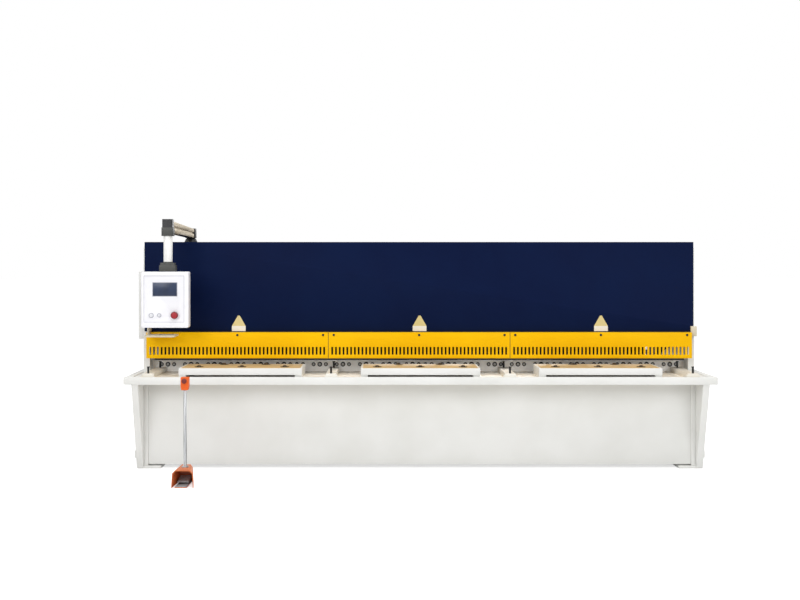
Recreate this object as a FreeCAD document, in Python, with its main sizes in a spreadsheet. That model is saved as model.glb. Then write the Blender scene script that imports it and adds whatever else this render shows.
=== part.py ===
import FreeCAD, Part
import Sketcher
import os
import re

# Swing beam shear: a floor-standing hydraulic plate shear with a 4 m cutting length.
# X runs along the blades to the right, Y runs from the operator to the back, Z is up.
# The origin lies on the floor, in the middle of the cutting length, below the cutting line.

doc = FreeCAD.newDocument("SwingBeamShear")
sheet = doc.addObject("Spreadsheet::Sheet", "Sizes")
V = FreeCAD.Vector

# Driving dimensions in millimetres and degrees, one line for each: name, value, meaning
DIMENSIONS = [
    ("frame_half_width", 2130, "middle to the outer face of a side frame"),
    ("frame_plate", 50, "thickness of a side frame"),
    ("frame_nose", 40, "chamfer on the upper front corner of a side frame"),
    ("lug_reach", 22, "length of the lug on the outside of each leg"),
    ("lug_height", 56, "height of the lug"),
    ("lug_bottom", 76, "floor to the underside of the lug"),
    ("floor_gap", 30, "floor to the lower edge of the front panel"),
    ("table_height", 785, "floor to the sheet plane"),
    ("deck_height", 700, "floor to the top of the sheet-metal deck"),
    ("deck_plate", 12, "thickness of the deck"),
    ("frame_top", 1700, "floor to the top edge of the side frames"),
    ("frame_front", 156, "cutting line forward to the upper front edge of the frames"),
    ("toe_reach", 385, "cutting line forward to the toe of a side frame"),
    ("knee_reach", 572, "cutting line forward to the frame's corner under the apron"),
    ("rear_reach", 900, "cutting line back to the rear edge of the side frames"),
    ("foot_length", 230, "length of each foot of a side frame along the floor"),
    ("arch_height", 260, "height of the arch between the feet"),
    ("top_rear_reach", 560, "cutting line back to the end of the top edge"),
    ("pivot_back", 760, "cutting line back to the pivot axis of the beam"),
    ("pivot_height", 845, "floor to the pivot axis of the beam"),
    ("pivot_radius", 45, "radius of the pivot pins"),
    ("pivot_clearance", 0.4, "radial clearance of the beam on its pins"),
    ("pivot_boss", 95, "radius of the boss round each pin"),
    ("boss_proud", 12, "height of the boss over the frame's outer face"),
    ("pin_head", 15, "radial height of a pivot pin's head"),
    ("pin_head_plate", 12, "thickness of a pivot pin's head"),
    ("apron_overhang", 58, "outer face of a side frame to the end of the apron"),
    ("apron_front", 580, "cutting line forward to the face of the apron"),
    ("apron_depth", 35, "depth of the apron beam"),
    ("apron_bottom", 652, "floor to the underside of the apron"),
    ("apron_top", 708, "floor to the top of the apron"),
    ("apron_corner", 24, "radius of the apron's outer corners"),
    ("rail_back", 100, "cutting line back to the end of the side rails"),
    ("panel_front", 365, "cutting line forward to the front panel"),
    ("strip_width", 34, "width of a corner strip"),
    ("panel_plate", 10, "thickness of the front panel"),
    ("strip_proud", 10, "corner strips stand this far in front of the panel"),
    ("bed_depth", 63, "thickness of the bed bar, front to back"),
    ("bed_bottom", 380, "floor to the lower edge of the bed bar"),
    ("blade_height", 80, "height of a blade"),
    ("blade_thickness", 20, "thickness of a blade"),
    ("blade_end_gap", 39.25, "inner face of a side frame to the end of the lower blade"),
    ("blade_segments", 4, "number of segments in a blade"),
    ("blade_joint", 0.5, "gap between neighbouring blade segments"),
    ("blade_gap", 2, "gap between the two blades where they pass"),
    ("rake_angle", 1.3, "slope of the upper blade, in degrees"),
    ("blade_lift", 17, "sheet plane up to the low end of the upper blade's edge"),
    ("arm_width", 75, "width of a support arm"),
    ("arm_drop", 50, "sheet plane down to the top of the support arms"),
    ("arm_tab_base", 99, "width of an arm's front tab at its foot"),
    ("arm_tab_proud", 575, "cutting line forward to the face of the front tabs"),
    ("outer_arm_inset", 74, "inner face of a side frame to the middle of an outer arm"),
    ("inner_arm", 659, "middle to the inner support arms"),
    ("stop_radius", 8, "radius of a stop pin"),
    ("stop_head", 11, "radius of a stop pin's head"),
    ("stop_head_height", 6, "height of a stop pin's head"),
    ("front_stop", 560, "cutting line forward to the front stop pins"),
    ("rear_stop", 130, "cutting line forward to the rear stop pins"),
    ("ball_proud", 14, "height of the sheet plane over the ball tables"),
    ("ball_table_skirt", 49, "height of a ball table's rim"),
    ("ball_table_wall", 8, "wall of a ball table"),
    ("ball_table_front", 552, "cutting line forward to the face of the ball tables"),
    ("ball_table_back", 205, "cutting line forward to the back of the ball tables"),
    ("ball_table_foot", 52, "width of a ball table's foot"),
    ("table_outer_gap", 296, "inner face of a side frame to an outer ball table"),
    ("table_inner_gap", 217, "middle of an inner arm to an outer ball table"),
    ("middle_table_gap", 218, "middle of an inner arm to the middle ball table"),
    ("ball_front_row", 453, "cutting line forward to the front row of balls"),
    ("ball_back_row", 266, "cutting line forward to the back row of balls"),
    ("outer_ball_inset", 134, "end of an outer ball table to its last ball"),
    ("middle_ball_inset", 121, "end of the middle ball table to its last ball"),
    ("ball_radius", 22, "radius of a transfer ball"),
    ("ball_flange", 33, "radius of a ball's flange"),
    ("ball_flange_height", 4, "height of a ball's flange"),
    ("guard_front", 230, "cutting line forward to the face of the guard"),
    ("guard_inset", 37, "outer face of a side frame to the end of the guard"),
    ("guard_joint", 697, "middle to a joint between guard panels"),
    ("guard_joint_gap", 1, "gap between neighbouring guard panels"),
    ("guard_clearance", 31, "sheet plane up to the lower edge of the guard"),
    ("guard_height", 198, "height of the guard"),
    ("guard_plate", 4, "thickness of the guard's sheet"),
    ("guard_lip", 26, "depth of the guard's lower lip"),
    ("slot_width", 14, "width of a viewing slot"),
    ("slot_height", 59, "height of a viewing slot"),
    ("slot_lift", 28, "lower edge of the guard to the lower end of the viewing slots"),
    ("slot_pitch", 29, "distance between viewing slots"),
    ("slot_count", 47, "number of viewing slots in a panel"),
    ("cover_depth", 24, "upper front edge of the frames to the face of the cover"),
    ("cover_inset", 12, "outer face of a side frame to the end of the cover"),
    ("cover_gap", 7, "gap between the guard and the upper cover"),
    ("cover_sheet", 4, "thickness of the upper cover"),
    ("bracket_overhang", 9, "outer face of the right frame to the end of the guard's bracket"),
    ("bracket_depth", 20, "depth of the guard's bracket"),
    ("bracket_height", 77, "height of the guard's bracket"),
    ("deck_top_plate", 9, "thickness of the top plate"),
    ("web_plate", 30, "thickness of the plate behind the upper cover"),
    ("clamp_bar_back", 22, "cutting line forward to the back of the hold-down bar"),
    ("clamp_body", 80, "height of a hold-down cylinder under its bar"),
    ("clamp_bar_height", 60, "height of the hold-down bar"),
    ("clamp_line", 45, "cutting line forward to the hold-down cylinders"),
    ("clamp_radius", 25, "radius of a hold-down cylinder"),
    ("clamp_foot_radius", 21, "radius of a hold-down plunger"),
    ("clamp_stroke", 38, "stroke of a hold-down"),
    ("clamp_lift", 27, "sheet plane up to the raised hold-down feet"),
    ("clamp_inset", 195, "inner face of a side frame to the outermost hold-down"),
    ("clamp_count", 14, "number of hold-down cylinders"),
    ("beam_side_gap", 35, "inner face of a side frame to the end of the swing beam"),
    ("beam_plate", 40, "thickness of the swing beam's front plate"),
    ("beam_top", 1300, "floor to the top of the swing beam"),
    ("beam_depth", 320, "cutting line back to the rear edge of the beam's top flange"),
    ("beam_flange", 30, "thickness of the beam's flanges"),
    ("beam_foot_depth", 430, "cutting line back to the rear edge of the beam's floor"),
    ("beam_floor", 985, "floor to the underside of the beam's lower flange"),
    ("beam_back_plate", 20, "thickness of the beam's sloping back plate"),
    ("beam_rib", 20, "thickness of a beam rib"),
    ("beam_rib_inset", 305, "beam arm to the outermost rib"),
    ("beam_rib_pairs", 3, "number of beam ribs on each side of the middle one"),
    ("beam_arm_plate", 60, "thickness of a beam arm"),
    ("cylinder_inset", 105, "inner face of a side frame to a main cylinder"),
    ("cylinder_back", 170, "cutting line back to the main cylinders"),
    ("cylinder_radius", 88, "radius of a main cylinder"),
    ("cylinder_bottom", 1345, "floor to the mouth of the main cylinders"),
    ("cylinder_cap", 1640, "floor to the seat of the main cylinders"),
    ("piston_radius", 40, "radius of a piston rod"),
    ("gauge_rail_half_gap", 1300, "middle to the back gauge rails"),
    ("gauge_rail_width", 70, "width of a back gauge rail"),
    ("gauge_rail_height", 75, "height of a back gauge rail"),
    ("gauge_rail_end", 1085, "cutting line back to the end of the back gauge rails"),
    ("gauge_bar_back", 520, "cutting line back to the face of the gauge bar"),
    ("gauge_bar_plate", 16, "thickness of the gauge bar"),
    ("gauge_bar_bottom", 770, "floor to the lower edge of the gauge bar"),
    ("gauge_inset", 180, "inner face of a side frame to the end of the gauge bar"),
    ("gauge_bar_height", 90, "height of the gauge bar"),
    ("gauge_carriage", 130, "cutting line side of the gauge bar to the back of its carriages"),
    ("gauge_carriage_lift", 30, "gauge bar's lower edge to the underside of its carriages"),
    ("gauge_bearing", 30, "depth and half width of a screw bearing"),
    ("gauge_screw_drop", 32, "underside of the rails to a gauge screw's axis"),
    ("gauge_screw_radius", 14, "radius of a gauge screw"),
    ("tie_depth", 80, "depth of the rear tie beams"),
    ("tie_height", 140, "height of the rear tie beams"),
    ("lower_tie_bottom", 270, "floor to the underside of the lower tie beam"),
    ("lower_tie_back", 640, "cutting line back to the front of the lower tie beam"),
    ("chute_plate", 6, "thickness of the rear slide"),
    ("chute_start", 640, "floor to the upper edge of the rear slide"),
    ("tank_left", 250, "middle to the left end of the oil tank"),
    ("tank_right", 1250, "middle to the right end of the oil tank"),
    ("tank_bottom", 1290, "floor to the underside of the oil tank"),
    ("tank_height", 330, "height of the oil tank"),
    ("tank_depth", 340, "depth of the oil tank"),
    ("tank_corner", 20, "radius of the oil tank's corners"),
    ("motor_radius", 95, "radius of the pump motor"),
    ("motor_length", 320, "length of the pump motor"),
    ("valve_width", 220, "width of the valve block"),
    ("valve_depth", 150, "depth of the valve block"),
    ("valve_height", 120, "height of the valve block"),
    ("foot_plate", 20, "thickness of a foot plate"),
    ("foot_plate_width", 130, "width of a foot plate"),
    ("anchor_radius", 11, "radius of an anchor hole"),
    ("anchor_inset", 65, "frame's inner face to the anchor holes"),
    ("shelf_inset", 60, "outer face of the left frame to the tool shelf"),
    ("shelf_length", 225, "length of the tool shelf"),
    ("shelf_bracket", 8, "thickness of the shelf's bracket"),
    ("shelf_bracket_depth", 70, "depth of the shelf's bracket"),
    ("shelf_drop", 18, "lower edge of the cover to the top of the tool shelf"),
    ("shelf_plate", 14, "thickness of the tool shelf's folded rim"),
    ("shelf_reach", 404, "cutting line forward to the front of the tool shelf"),
    ("shelf_bracket_height", 32, "lower edge of the cover to the top of the shelf's bracket"),
    ("cabinet_width", 39, "width of the side cabinet"),
    ("cabinet_front", 150, "cutting line forward to the face of the side cabinet"),
    ("cabinet_back", 300, "cutting line back to the rear of the side cabinet"),
    ("cabinet_bottom", 960, "floor to the underside of the side cabinet"),
    ("cabinet_top", 1480, "floor to the top of the side cabinet"),
    ("boom_inset", 250, "outer face of the left frame to the boom's pivot"),
    ("boom_back", 500, "cutting line back to the boom's pivot"),
    ("boom_foot_radius", 54, "radius of the boom's foot"),
    ("boom_foot_height", 38, "height of the boom's foot"),
    ("boom_foot_rim", 12, "height of the foot's straight rim"),
    ("boom_post_radius", 36, "radius of the boom's post"),
    ("boom_running_gap", 0.3, "running gap under the boom and over the pendant"),
    ("boom_hub_bottom", 1752, "floor to the underside of the hub"),
    ("boom_hub_height", 80, "height of the hub"),
    ("boom_hub_half", 42, "half the width of the hub"),
    ("arm_rear_bottom", 1755, "floor to the underside of the boom profile at the hub"),
    ("arm_front_bottom", 1774, "floor to the underside of the boom profile at the elbow"),
    ("arm_rear_height", 73, "height of the boom profile at the hub"),
    ("arm_front_height", 85, "height of the boom profile at the elbow"),
    ("boom_arm_width", 65, "width of the boom profile"),
    ("boom_groove", 14, "width of the grooves in the boom profile"),
    ("boom_groove_depth", 9, "depth of the grooves in the boom profile"),
    ("drop_front", 460, "cutting line forward to the drop tube"),
    ("elbow_half", 43, "half the width of the lower part of the elbow"),
    ("elbow_top_half", 38, "half the width of the upper part of the elbow"),
    ("elbow_half_depth", 40, "half the depth of the elbow"),
    ("elbow_seam", 1812, "floor to the seam of the elbow"),
    ("elbow_corner", 9, "radius of the elbow's corners"),
    ("elbow_bottom", 1749, "floor to the underside of the elbow"),
    ("elbow_top", 1874, "floor to the top of the elbow"),
    ("drop_tube_radius", 33, "radius of the drop tube"),
    ("coupling_half", 61, "half the width of the coupling's flange"),
    ("coupling_half_depth", 38, "half the depth of the coupling's flange"),
    ("coupling_flange", 48, "height of the coupling's flange"),
    ("coupling_step", 7, "the coupling's upper layer is this much smaller on each side"),
    ("coupling_layer", 18, "height of the coupling's upper layer"),
    ("coupling_corner", 9, "radius of the coupling's corners"),
    ("coupling_collar", 36, "radius of the coupling's collar"),
    ("coupling_top", 1556, "floor to the top of the coupling"),
    ("pendant_bottom", 1067, "floor to the underside of the pendant"),
    ("pendant_top", 1483, "floor to the top of the pendant"),
    ("pendant_half", 175, "half the width of the pendant"),
    ("pendant_shift", 16, "drop tube to the left to the pendant's middle"),
    ("pendant_depth", 84, "depth of the pendant"),
    ("pendant_corner", 12, "radius of the pendant's corners"),
    ("panel_recess", 3, "depth of the pendant's front recess"),
    ("panel_left_rim", 18, "width of the rim to the left of the recess"),
    ("panel_right_rim", 32, "width of the rim to the right of the recess"),
    ("panel_lower_rim", 40, "width of the rim under the recess"),
    ("panel_upper_rim", 30, "width of the rim over the recess"),
    ("screen_half", 89, "half the width of the screen"),
    ("screen_plate", 2, "thickness of the screen"),
    ("screen_bottom", 1303, "floor to the lower edge of the screen"),
    ("screen_top", 1401, "floor to the upper edge of the screen"),
    ("stop_button_right", 73.5, "pendant's middle right to the emergency stop"),
    ("stop_button_z", 1160, "floor to the emergency stop"),
    ("stop_button_radius", 27, "radius of the emergency stop's head"),
    ("stop_stem_radius", 11, "radius of the emergency stop's stem"),
    ("stop_travel", 5, "travel of an emergency stop"),
    ("key_button_left", 101, "pendant's middle left to the left ring button"),
    ("start_button_left", 42, "pendant's middle left to the right ring button"),
    ("ring_button_z", 1159, "floor to the ring buttons"),
    ("ring_left_radius", 18.5, "radius of the left ring"),
    ("ring_right_radius", 15.5, "radius of the right ring"),
    ("ring_height", 5, "height of a button's ring"),
    ("button_wall", 5, "radial width of a button's ring"),
    ("button_travel", 3, "travel of a ring button"),
    ("button_clearance", 0.3, "clearance round a button"),
    ("pedal_offset", 1657.5, "middle to the middle of the hood's front"),
    ("pedal_rear_offset", 1672, "middle to the middle of the hood's rear"),
    ("pedal_foot_half", 77.5, "half the width of the hood's front at the floor"),
    ("pedal_rear_half", 52, "half the width of the hood's rear at the floor"),
    ("hood_lean", 6, "each side of the hood leans in this much up to its shoulder"),
    ("hood_shoulder", 20, "height of the hood's sloping shoulder"),
    ("hood_front_shoulder", 19, "width of the shoulder at the front"),
    ("hood_rear_shoulder", 15, "width of the shoulder at the rear"),
    ("pedal_front", 1085, "cutting line forward to the front of the foot switch"),
    ("pedal_back", 850, "cutting line forward to the back of the foot switch"),
    ("pedal_height", 120, "height of the foot switch hood"),
    ("pedal_wall", 5, "wall of the foot switch hood"),
    ("pedal_base", 6, "thickness of the foot switch base"),
    ("treadle_middle", 1670, "middle to the middle of the treadle"),
    ("treadle_width", 80, "width of the treadle"),
    ("treadle_plate", 10, "thickness of the treadle"),
    ("treadle_hinge_back", 880, "cutting line forward to the treadle's hinge"),
    ("treadle_hinge_height", 38, "floor to the treadle's hinge"),
    ("treadle_pin_radius", 6, "radius of the treadle's hinge pin"),
    ("treadle_slope", 9, "slope of the treadle at rest, in degrees"),
    ("treadle_length", 105, "length of the treadle"),
    ("treadle_barrel", 11, "radius of the treadle's hinge barrel"),
    ("pole_x", 1661, "middle to the foot switch pole"),
    ("pole_front", 960, "cutting line forward to the foot switch pole"),
    ("pole_radius", 11.5, "radius of the foot switch pole"),
    ("pole_flange", 24, "radius of the flange under the pole"),
    ("pole_flange_height", 8, "height of the flange under the pole"),
    ("stop_box_bottom", 662, "floor to the underside of the stop box"),
    ("stop_box_top", 750, "floor to the top of the stop box"),
    ("stop_box_width", 54, "width of the stop box at its top"),
    ("stop_box_foot", 44, "width of the stop box at its foot"),
    ("stop_box_taper", 24, "height of the stop box's tapered foot"),
    ("stop_box_depth", 54, "depth of the stop box"),
    ("pedal_stop_z", 726, "floor to the stop box's button"),
    ("pedal_stop_radius", 17.5, "radius of the stop box's button"),
    ("pedal_stem_radius", 9, "radius of the stem of the stop box's button"),
]
for row, (name, value, meaning) in enumerate(DIMENSIONS, start=1):
    sheet.set(f"A{row}", name)
    sheet.set(f"B{row}", str(value))
    sheet.set(f"C{row}", meaning)
    sheet.setAlias(f"B{row}", name)
doc.recompute()
SIZE = {name: value for name, value, meaning in DIMENSIONS}
PARTS = []


def formula(text):
    """A formula in the names of the sheet, as the document wants it."""
    return re.sub(r"[a-z]\w*", lambda word: "Sizes." + word[0] if word[0] in SIZE else word[0], str(text))


def number(text):
    """The value of a formula, worked out in a spare cell of the sheet."""
    sheet.set("F1", "=" + str(text))
    sheet.recompute()
    return float(sheet.get("F1"))


def new(kind, label):
    piece = doc.addObject(kind, label)
    piece.Label = label
    return piece


def at(piece, x, y, z):
    """Puts a piece's own origin at a place given by three formulas."""
    piece.setExpression("Placement.Base.x", formula(x))
    piece.setExpression("Placement.Base.y", formula(y))
    piece.setExpression("Placement.Base.z", formula(z))
    return piece


def block(label, x, y, z):
    """A plain block between a low and a high formula on each axis."""
    piece = new("Part::Box", label)
    for size, (low, high) in zip(("Length", "Width", "Height"), (x, y, z)):
        piece.setExpression(size, formula(f"({high}) - ({low})"))
    return at(piece, x[0], y[0], z[0])


def turned(label, axis, radius, length, x, y, z):
    """A round bar from a place along X, Y or Z; along Y it runs to the back."""
    piece = new("Part::Cylinder", label)
    piece.setExpression("Radius", formula(radius))
    piece.setExpression("Height", formula(length))
    turn = {"X": (V(0, 1, 0), 90), "Y": (V(1, 0, 0), -90), "Z": (V(0, 0, 1), 0)}[axis]
    piece.Placement.Rotation = FreeCAD.Rotation(*turn)
    return at(piece, x, y, z)


def joined(label, pieces):
    piece = new("Part::MultiFuse", label)
    piece.Shapes = pieces
    return piece


def cut(label, base, tool):
    piece = new("Part::Cut", label)
    piece.Base = base
    piece.Tool = tool
    return piece


def together(label, pieces):
    """Like pieces that share one node as separate solids."""
    piece = new("Part::Compound", label)
    piece.Links = pieces
    return piece


def mirrored(label, source):
    """The same piece on the other side of the middle."""
    piece = new("Part::Mirroring", label)
    piece.Source = source
    piece.Base = V(0, 0, 0)
    piece.Normal = V(1, 0, 0)
    return piece


def keep(*pieces):
    PARTS.extend(pieces)


def sketch_on(body, plane, name, offset):
    """An empty sketch on one of a body's own origin planes, moved along its normal."""
    sketch = body.newObject("Sketcher::SketchObject", name)
    flat = [item for item in body.Origin.OriginFeatures if item.Role == plane][0]
    sketch.AttachmentSupport = [(flat, "")]
    sketch.MapMode = "FlatFace"
    sketch.setExpression("AttachmentOffset.Base.z", formula(offset))
    return sketch


def draw(sketch, corners):
    """A closed outline with straight sides; both places of each corner are formulas."""
    places = [V(number(across), number(up), 0) for across, up in corners]
    for index, place in enumerate(places):
        sketch.addGeometry(Part.LineSegment(place, places[(index + 1) % len(places)]), False)
    for index, (across, up) in enumerate(corners):
        sketch.addConstraint(Sketcher.Constraint("Coincident", index, 2, (index + 1) % len(corners), 1))
        for kind, text, value in (("DistanceX", across, places[index].x),
                                  ("DistanceY", up, places[index].y)):
            here = sketch.addConstraint(Sketcher.Constraint(kind, -1, 1, index, 1, value))
            sketch.setExpression(f"Constraints[{here}]", formula(text))


def profile(label, plane, corners, low, high):
    """A body padded from one outline, between a low and a high place on the plane's normal."""
    body = new("PartDesign::Body", label)
    sketch = sketch_on(body, plane, label + "_outline", low)
    draw(sketch, corners)
    pad = body.newObject("PartDesign::Pad", label + "_pad")
    pad.Profile = sketch
    pad.setExpression("Length", formula(f"({high}) - ({low})"))
    sketch.Visibility = False
    return body


def rounded_profile(label, plane, low_corner, high_corner, radius, low, high):
    """A padded rectangle with round corners, between two corners given by formulas."""
    body = new("PartDesign::Body", label)
    sketch = sketch_on(body, plane, label + "_outline", low)
    (left, down), (right, up) = low_corner, high_corner
    draw(sketch, [(left, down), (right, down), (right, up), (left, up)])
    pad = body.newObject("PartDesign::Pad", label + "_pad")
    pad.Profile = sketch
    pad.setExpression("Length", formula(f"({high}) - ({low})"))
    doc.recompute()
    normal = {"XY_Plane": V(0, 0, 1), "XZ_Plane": V(0, -1, 0), "YZ_Plane": V(1, 0, 0)}[plane]
    edges = [f"Edge{index}" for index, edge in enumerate(pad.Shape.Edges, start=1)
             if abs(edge.tangentAt(edge.FirstParameter).dot(normal)) > 0.99]
    rounding = body.newObject("PartDesign::Fillet", label + "_rounding")
    rounding.Base = (pad, edges)
    rounding.setExpression("Radius", formula(radius))
    sketch.Visibility = False
    return body


def lathe(label, outline, x, y, z):
    """A turned piece that stands on a place; its outline gives radius and height from the bottom up."""
    body = new("PartDesign::Body", label)
    sketch = sketch_on(body, "XZ_Plane", label + "_outline", "0")
    draw(sketch, [("0", outline[0][1])] + outline + [("0", outline[-1][1])])
    turn = body.newObject("PartDesign::Revolution", label + "_turn")
    turn.Profile = sketch
    turn.ReferenceAxis = (sketch, ["V_Axis"])
    turn.Angle = 360
    sketch.Visibility = False
    return at(body, x, y, z)


# Side frames: thick plates with a foot at each end, an arch between and a boss for the beam's pivot pin
frame_inner = "frame_half_width - frame_plate"
ball_table_top = "table_height - ball_proud"
arm_top = "table_height - arm_drop"
clamp_foot = "table_height + clamp_lift"
clamp_bar_bottom = clamp_foot + " + clamp_stroke + clamp_body"
clamp_bar_top = clamp_bar_bottom + " + clamp_bar_height"
guard_bottom = "table_height + guard_clearance"
guard_top = guard_bottom + " + guard_height"
slot_bottom = guard_bottom + " + slot_lift"
cover_bottom = guard_top + " + cover_gap"
shelf_top = cover_bottom + " - shelf_drop"
apron_end = "frame_half_width + apron_overhang"
frame_outline = [
    ("-toe_reach", "0"),
    ("-toe_reach + foot_length", "0"),
    ("-toe_reach + foot_length + arch_height", "arch_height"),
    ("rear_reach - foot_length - arch_height", "arch_height"),
    ("rear_reach - foot_length", "0"),
    ("rear_reach", "0"),
    ("rear_reach", "pivot_height + 2 * pivot_boss"),
    ("top_rear_reach", "frame_top"),
    ("-frame_front + frame_nose", "frame_top"),
    ("-frame_front", "frame_top - frame_nose"),
    ("-frame_front", "deck_height"),
    ("-apron_front + apron_depth", "deck_height"),
    ("-apron_front + apron_depth", "apron_bottom"),
    ("-knee_reach", "apron_bottom"),
]
frame_blank = profile("frame_blank", "YZ_Plane", frame_outline, frame_inner, "frame_half_width")
frame_boss = turned("frame_boss", "X", "pivot_boss", "frame_plate + boss_proud", frame_inner, "pivot_back",
                    "pivot_height")
frame_bore = turned("frame_bore", "X", "pivot_radius", "4 * frame_plate",
                    "frame_half_width - 2 * frame_plate", "pivot_back", "pivot_height")
leg_lug = block("leg_lug", ("frame_half_width - 1", "frame_half_width + lug_reach"),
                ("-toe_reach + foot_plate", "-toe_reach + foot_plate + lug_height"),
                ("lug_bottom", "lug_bottom + lug_height"))
right_side_frame = cut("right_side_frame", joined("frame_with_boss", [frame_blank, frame_boss, leg_lug]),
                       frame_bore)
left_side_frame = mirrored("left_side_frame", right_side_frame)
keep(left_side_frame, right_side_frame)

# Foot plates inside the frames, each with one anchor hole
feet = []
for name, start in (("front", "-toe_reach"), ("rear", "rear_reach - foot_length")):
    plate = block(name + "_foot_blank", (f"{frame_inner} - foot_plate_width", frame_inner),
                  (start, start + " + foot_length"), ("0", "foot_plate"))
    hole = turned(name + "_foot_hole", "Z", "anchor_radius", "3 * foot_plate",
                  frame_inner + " - anchor_inset", start + " + foot_length / 2", "-foot_plate")
    right_foot = cut(name + "_foot_right", plate, hole)
    feet += [right_foot, mirrored(name + "_foot_left", right_foot)]
keep(together("foot_plates", feet))

# Pivot pins: turned pins pressed in the frames, with a head on the outside
pin_outline = [("pivot_radius + pin_head", "0"), ("pivot_radius + pin_head", "pin_head_plate"),
               ("pivot_radius", "pin_head_plate"),
               ("pivot_radius",
                "pin_head_plate + boss_proud + frame_plate + beam_side_gap + beam_arm_plate + 10")]
right_pin = lathe("right_pin", pin_outline, "frame_half_width + boss_proud + pin_head_plate", "pivot_back",
                  "pivot_height")
right_pin.Placement.Rotation = FreeCAD.Rotation(V(0, 1, 0), -90)
keep(together("pivot_pins", [right_pin, mirrored("left_pin", right_pin)]))

# Table: front panel with bright corner strips, deck, and the bed bar that carries the lower blade
keep(block("front_panel", (f"-({frame_inner}) + strip_width", f"{frame_inner} - strip_width"),
           ("-panel_front", "-panel_front + panel_plate"), ("floor_gap", "deck_height - deck_plate")))
strip = block("right_strip", (f"{frame_inner} - strip_width", frame_inner),
              ("-panel_front - strip_proud", "-panel_front + panel_plate"),
              ("foot_plate", "deck_height - deck_plate"))
keep(together("corner_strips", [strip, mirrored("left_strip", strip)]))
keep(block("table_deck", (f"-({frame_inner})", frame_inner),
           ("-apron_front + apron_depth", "-bed_depth"), ("deck_height - deck_plate", "deck_height")))
bed_outline = [
    ("-bed_depth", "bed_bottom"),
    ("0", "bed_bottom"),
    ("0", "table_height - blade_height"),
    ("-blade_thickness", "table_height - blade_height"),
    ("-blade_thickness", "table_height"),
    ("-bed_depth", "table_height"),
]
keep(profile("bed_bar", "YZ_Plane", bed_outline, f"-({frame_inner})", frame_inner))
keep(block("bed_floor", (f"-({frame_inner})", frame_inner), ("-panel_front + panel_plate", "-bed_depth"),
           ("bed_bottom", "bed_bottom + deck_plate")))


blade_length = f"(2 * ({frame_inner} - blade_end_gap) - (blade_segments - 1) * blade_joint) / blade_segments"


def blade(label, x, y, z):
    """Blade segments in a row, from the left."""
    segments = []
    for index in range(SIZE["blade_segments"]):
        start = f"{x} + {index} * ({blade_length} + blade_joint)"
        segments.append(block(f"{label}_{index + 1}", (start, f"{start} + {blade_length}"),
                              (y, y + " + blade_thickness"), (z, z + " + blade_height")))
    return together(label, segments)


keep(blade("lower_blade", f"-({frame_inner}) + blade_end_gap", "-blade_thickness",
           "table_height - blade_height"))

# Apron: a folded tray edge round the front of the table, with rails along the outside of the frames
keep(rounded_profile("apron_beam", "XY_Plane", (f"-({apron_end})", "-apron_front"),
                     (apron_end, "-apron_front + apron_depth"), "apron_corner / 2",
                     "apron_bottom", "apron_top"))
rail = block("right_rail", ("frame_half_width", apron_end),
             ("-apron_front + apron_depth", "rail_back"), ("apron_bottom", "apron_top - 2"))
keep(together("side_rails", [rail, mirrored("left_rail", rail)]))


def ball_table(label, middle, half):
    """A folded steel tray upside down on two feet."""
    outer = block(label + "_outer", (f"{middle} - {half}", f"{middle} + {half}"),
                  ("-ball_table_front", "-ball_table_back"),
                  (ball_table_top + " - ball_table_skirt", ball_table_top))
    inner = block(label + "_inner",
                  (f"{middle} - {half} + ball_table_wall", f"{middle} + {half} - ball_table_wall"),
                  ("-ball_table_front + ball_table_wall", "-ball_table_back - ball_table_wall"),
                  ("deck_height", ball_table_top + " - ball_table_wall"))
    pieces = [cut(label + "_tray", outer, inner)]
    for side, low in (("left", f"{middle} - {half}"), ("right", f"{middle} + {half} - ball_table_foot")):
        pieces.append(block(f"{label}_{side}_foot", (low, low + " + ball_table_foot"),
                            ("-apron_front + apron_depth", "-ball_table_back"),
                            ("deck_height", ball_table_top + " - ball_table_skirt")))
    return joined(label, pieces)


table_half = f"({frame_inner} - table_outer_gap - inner_arm - table_inner_gap) / 2"
table_middle = f"({frame_inner} - table_outer_gap + inner_arm + table_inner_gap) / 2"
tables = (("left", f"-({table_middle})", table_half, "outer_ball_inset"),
          ("middle", "0", "inner_arm - middle_table_gap", "middle_ball_inset"),
          ("right", table_middle, table_half, "outer_ball_inset"))
balls = []
ball_outline = [("ball_flange", "0"), ("ball_flange", "ball_flange_height"),
                ("0.8 * ball_radius", "ball_flange_height"),
                ("0.62 * ball_radius", "ball_proud - 3"),
                ("0.3 * ball_radius", "ball_proud")]
trays = []
for name, middle, half, inset in tables:
    trays.append(ball_table(name + "_ball_table", f"({middle})", f"({half})"))
    spacing = f"({half} - {inset})"
    rows = [(step, "ball_front_row") for step in (-1, 0, 1)]
    rows += [(step, "ball_back_row") for step in (-0.5, 0.5)]
    for index, (step, row) in enumerate(rows, start=1):
        balls.append(lathe(f"{name}_ball_{index}", ball_outline, f"{middle} + {step} * {spacing}",
                           "-" + row, ball_table_top))
keep(together("ball_tables", trays), together("transfer_balls", balls))

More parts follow.
